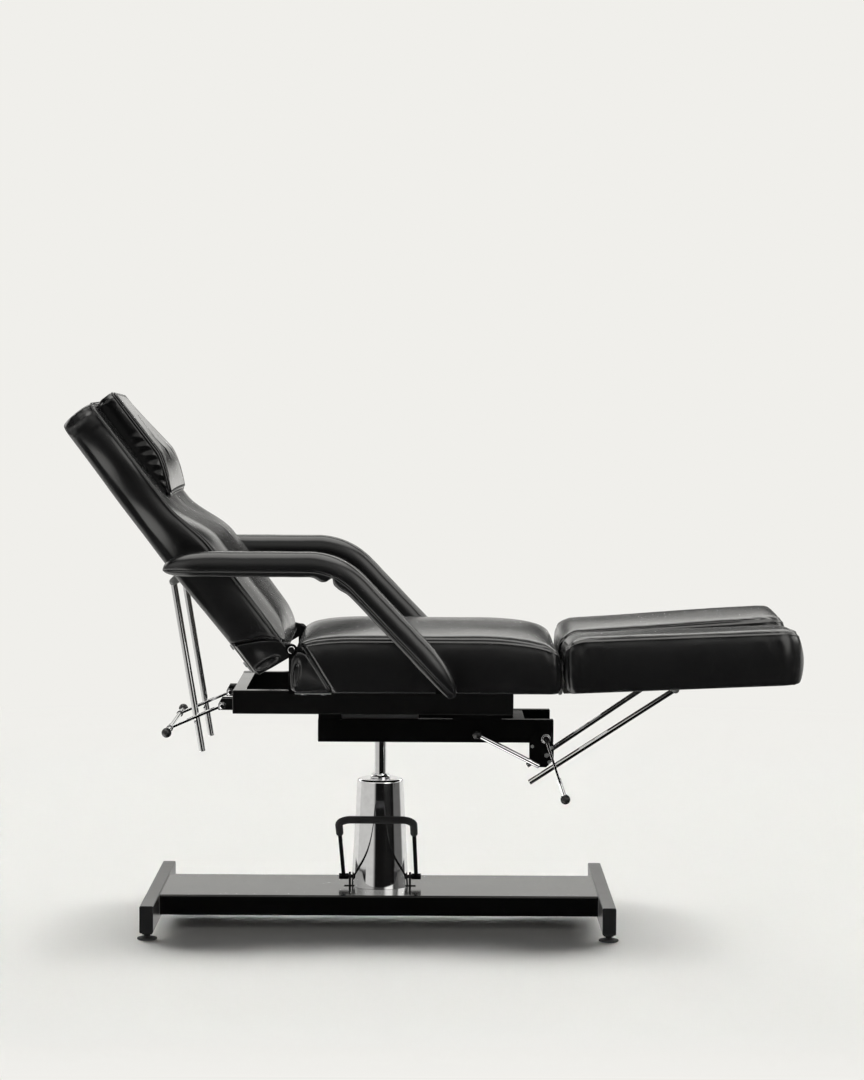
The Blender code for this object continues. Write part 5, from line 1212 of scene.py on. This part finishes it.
def armRings(sign):
    path = armPath()
    run = [0.0]
    for a, b in zip(path, path[1:]):
        run.append(run[-1] + (b - a).length)
    notchAt = next(s for s, p in zip(run, path) if p.x > arm["run"] - 0.006)
    rings = []
    for i, (point, s) in enumerate(zip(path, run)):
        left = run[-1] - s
        along = (path[min(i + 1, len(path) - 1)] - path[max(i - 1, 0)]).normalized()
        across = Vector((-along.z, 0, along.x))
        top = max(min(roundOff(s, arm["topNose"]), roundOff(left, arm["tipTop"])), 0.05)
        low = max(min(roundOff(s, arm["lowNose"]), roundOff(left, arm["tipLow"])), 0.05)
        upper, lower = (arm["depth"] / 2 - arm["seam"]) * top, (arm["depth"] / 2 + arm["seam"]) * low
        # the cover is nicked and gathered under the bend
        lower += sum(deep * bell(s - notchAt - at, wide) for deep, at, wide in arm["nicks"])
        narrow = min(roundOff(s, arm["topNose"] * 0.8), roundOff(left, arm["tipTop"] * 0.8))
        ring = []
        for a, out in armSection(upper, lower, arm["width"] * (0.50 + 0.50 * narrow)):
            wave = arm["wave"] * noise.noise(Vector((s * 30, a * 60, out * 40 + sign)))
            sideways = Vector((0, sign * (arm["innerY"] + out), 0))
            ring.append(armFrame @ (point + across * (arm["seam"] + a + wave) + sideways))
        rings.append(ring)
    return rings


def cutSlot(piece, sign):
    # the way of the seat's pin in the pad's inner face
    (x, z), (ax, az) = arm["slotAt"], arm["slotAlong"]
    half, radius, inner = arm["slotHalf"], arm["slotRadius"], arm["innerY"]
    heading = math.atan2(az, ax) - math.pi / 2
    outline = [(x + end * ax * half + radius * math.cos(a), z + end * az * half + radius * math.sin(a))
               for end, start in ((1, 0.0), (-1, math.pi))
               for a in (heading + start + math.pi * i / 8 for i in range(9))]
    cut(piece, moveBy(cutPlate(outline, sign * (inner - 0.01), sign * (inner + arm["slotDepth"]), 0.0002), armFrame))


def buildArmrests():
    for side, sign in sides.items():
        name = "armrest_padding_" + side
        piece = smoothOver(skin(name, armRings(sign)))
        cutSlot(piece, sign)
        dress(piece, name, "armrest_" + side, vinyl, ["armrest_pad_" + side, "armrest_bar_" + side], 60)


buildEndBars()
buildBasePlate()
buildColumn()
buildPedal()
print("base, column and pedal made")
buildRods()
buildBrackets()
buildRelease()
buildLevers()
buildCrank()
buildHinges()
buildGuides()
print("rods, levers and ironwork made")
buildUpholstery()
buildFacets()
buildArmrests()
print("upholstery made")


# Studio

studio = {"paper": (0.8714, 0.8632, 0.8308), "paperFar": (1.7, 4.5), "paperFront": (1.0, 1.6), "cardY": 1.0,
          "cardGlow": 0.96, "cards": {"base_card": (-1.3, 1.3, 0.12, 0.50), "frame_card": (-0.66, -0.38, 0.56, 0.74)},
          "cameraAt": (-0.0236, -7.060, 1.267), "lens": 103.87, "pitch": 3.27, "yaw": 0.156, "roll": 0.30}
# Bearings are degrees from the camera's side, heights are the z of a direction, and glows are strengths
sky = {"even": 0.11, "band": (0.10, 0.16, 0.22, 0.30), "side": (0.30, 0.80), "share": 0.0156, "dim": 0.008,
       "leftWall": (-32, -18), "leftEnd": (-165, -145), "leftTop": (0.35, 0.60), "leftGlow": 0.75,
       "leftFloor": (0.20, 0.42), "leftFloorGlow": 3.0, "rightWall": (62, 70), "rightEnd": (125, 150),
       "rightEndLow": (-0.04, 0.0), "rightGlow": 0.16, "rightPanel": (76, 88, 118, 132),
       "rightHeight": (0.12, 0.25, 0.70, 0.85), "rightPanelGlow": 3.0, "behind": (105, 122),
       "behindLow": (0.070, 0.105), "behindRight": (0.040, 0.075), "behindShade": (0.010, 0.032), "behindGlow": 0.96,
       "behindHigh": (0.21, 0.28, 0.46, 0.56), "highGlow": 2.0, "floor": (-0.45, -0.05), "floorGlow": 0.15,
       "topPanel": (0.72, 0.90), "topGlow": 4.5, "frontBearing": (55, 85), "frontHeight": (0.04, 0.36, 0.60, 0.80),
       "frontGlow": 0.9, "frontPanel": (14, 30, 48, 60), "frontPanelHeight": (-0.04, 0.08, 0.55, 0.75),
       "frontPanelGlow": 2.2}


def makeStudioPaper():
    # the paper takes the chair's shadow near it and glows evenly further out
    finish = Finish("studio_paper", Roughness=0.9, Specular_IOR_Level=0.0, Emission_Strength=1.0)
    finish.material.cycles.emission_sampling = "NONE"
    x, y, z = finish.split(finish.out(finish.add("ShaderNodeNewGeometry"), "Position"))
    away = x.maths("SQRT", x * x + y * y)
    far = 1 - (1 - finish.ramp(away, *studio["paperFar"])) * (1 - finish.ramp(y * -1.0, *studio["paperFront"]))
    black, white = (0, 0, 0), studio["paper"]
    return finish.surface(Base_Color=finish.blend(far, white, black), Emission_Color=finish.blend(far, black, white))


def standCard(name, left, right, low, high):
    # a white card behind the chair, seen only in the gloss of the painted steel
    clearPick()
    middle = ((left + right) / 2, studio["cardY"], (low + high) / 2)
    bpy.ops.mesh.primitive_plane_add(size=1, location=middle, rotation=(math.pi / 2, 0, 0))
    card = bpy.context.object
    card.name = name
    card.scale = (right - left, high - low, 1)
    white = Finish(name + "_white", Base_Color=(0, 0, 0, 1), Specular_IOR_Level=0.0,
                   Emission_Color=(*studio["paper"], 1), Emission_Strength=studio["cardGlow"]).material
    white.cycles.emission_sampling = "NONE"
    card.data.materials.append(white)
    card.visible_camera = card.visible_diffuse = card.visible_shadow = card.visible_transmission = False


def reflectedWalls(graph, x, y, z):
    # what the gloss of the chair mirrors: walls, floor and soft panels by bearing and height
    ramp, window = graph.ramp, graph.window
    bearing = x.maths("ARCTAN2", x, y * -1.0) * (180 / math.pi)
    turned = bearing.maths("ABSOLUTE", bearing)
    leftward = (1 - ramp(bearing, *sky["leftWall"])) * ramp(bearing, *sky["leftEnd"])
    leftWall = leftward * sky["leftGlow"] * (1 - ramp(z, *sky["leftTop"]))
    rightWall = ramp(bearing, *sky["rightWall"]) * sky["rightGlow"]
    rightWall = rightWall * (1 - ramp(bearing, *sky["rightEnd"]) * ramp(z, *sky["rightEndLow"]))
    shade = ramp(x, *sky["behindRight"]) * ramp(z, *sky["behindShade"])
    rearward = ramp(turned, *sky["behind"])
    behind = rearward * (1 - ramp(z, *sky["behindLow"])) * (1 - shade) * sky["behindGlow"]
    walls = (leftWall + rightWall + behind).least(1.0) + sky["dim"]
    low = ramp(z, *sky["floor"]) * (1 - sky["floorGlow"]) + sky["floorGlow"]
    front = (1 - ramp(turned, *sky["frontBearing"])) * window(z, *sky["frontHeight"]) * sky["frontGlow"]
    frontPanel = window(bearing, *sky["frontPanel"]) * window(z, *sky["frontPanelHeight"]) * sky["frontPanelGlow"]
    rightPanel = window(bearing, *sky["rightPanel"]) * window(z, *sky["rightHeight"]) * sky["rightPanelGlow"]
    high = rearward * window(z, *sky["behindHigh"]) * sky["highGlow"]
    top = ramp(z, *sky["topPanel"]) * sky["topGlow"]
    leftFloor = leftward * ramp(z * -1.0, *sky["leftFloor"]) * sky["leftFloorGlow"]
    return walls * low + top + high + rightPanel + front + frontPanel + leftFloor


def buildWorld():
    world = bpy.data.worlds.new("studio_light")
    bpy.context.scene.world = world
    world.use_nodes = True
    world.cycles.sampling_method = "NONE"
    world.node_tree.nodes.clear()
    graph = Graph(world.node_tree)
    x, y, z = graph.split(graph.out(graph.add("ShaderNodeTexCoord"), "Generated"))
    band = graph.window(z, *sky["band"]) * graph.ramp(y, *sky["side"])
    plainLight = sky["even"] + band * ((1 - sky["even"]) / sky["share"])
    paper = (*studio["paper"], 1)
    light = graph.add("ShaderNodeBackground", Color=(1, 1, 1, 1), Strength=plainLight)
    polish = graph.add("ShaderNodeBackground", Color=paper, Strength=reflectedWalls(graph, x, y, z))
    backdrop = graph.add("ShaderNodeBackground", Color=paper, Strength=1.0)
    path = graph.add("ShaderNodeLightPath")
    straight = (graph.out(path, "Is Camera Ray") + graph.out(path, "Is Transmission Ray")).least(1.0)
    shown = graph.choose(straight, graph.choose(graph.out(path, "Is Glossy Ray"), light, polish), backdrop)
    output = graph.add("ShaderNodeOutputWorld")
    graph.tree.links.new(shown.outputs[0], output.inputs["Surface"])


def buildStudio():
    clearPick()
    bpy.ops.mesh.primitive_plane_add(size=80, location=(0, 0, -0.0002))
    floor = bpy.context.object
    floor.name = "studio_floor"
    floor.data.materials.append(makeStudioPaper())
    floor.visible_glossy = False
    for name, edges in studio["cards"].items():
        standCard(name, *edges)
    buildWorld()

    clearPick()
    bpy.ops.object.camera_add(location=studio["cameraAt"])
    camera = bpy.context.object
    camera.data.sensor_fit = "VERTICAL"
    camera.data.sensor_height = 36
    camera.data.lens = studio["lens"]
    camera.data.clip_end = 200
    turns = ((-studio["yaw"], "Z"), (90 - studio["pitch"], "X"), (studio["roll"], "Z"))
    yaw, pitch, roll = (Matrix.Rotation(math.radians(angle), 4, axis) for angle, axis in turns)
    camera.rotation_euler = (yaw @ pitch @ roll).to_euler()
    bpy.context.scene.camera = camera
    bpy.context.scene.view_settings.view_transform = "Standard"


buildStudio()
print("studio set")
bpy.context.view_layer.update()
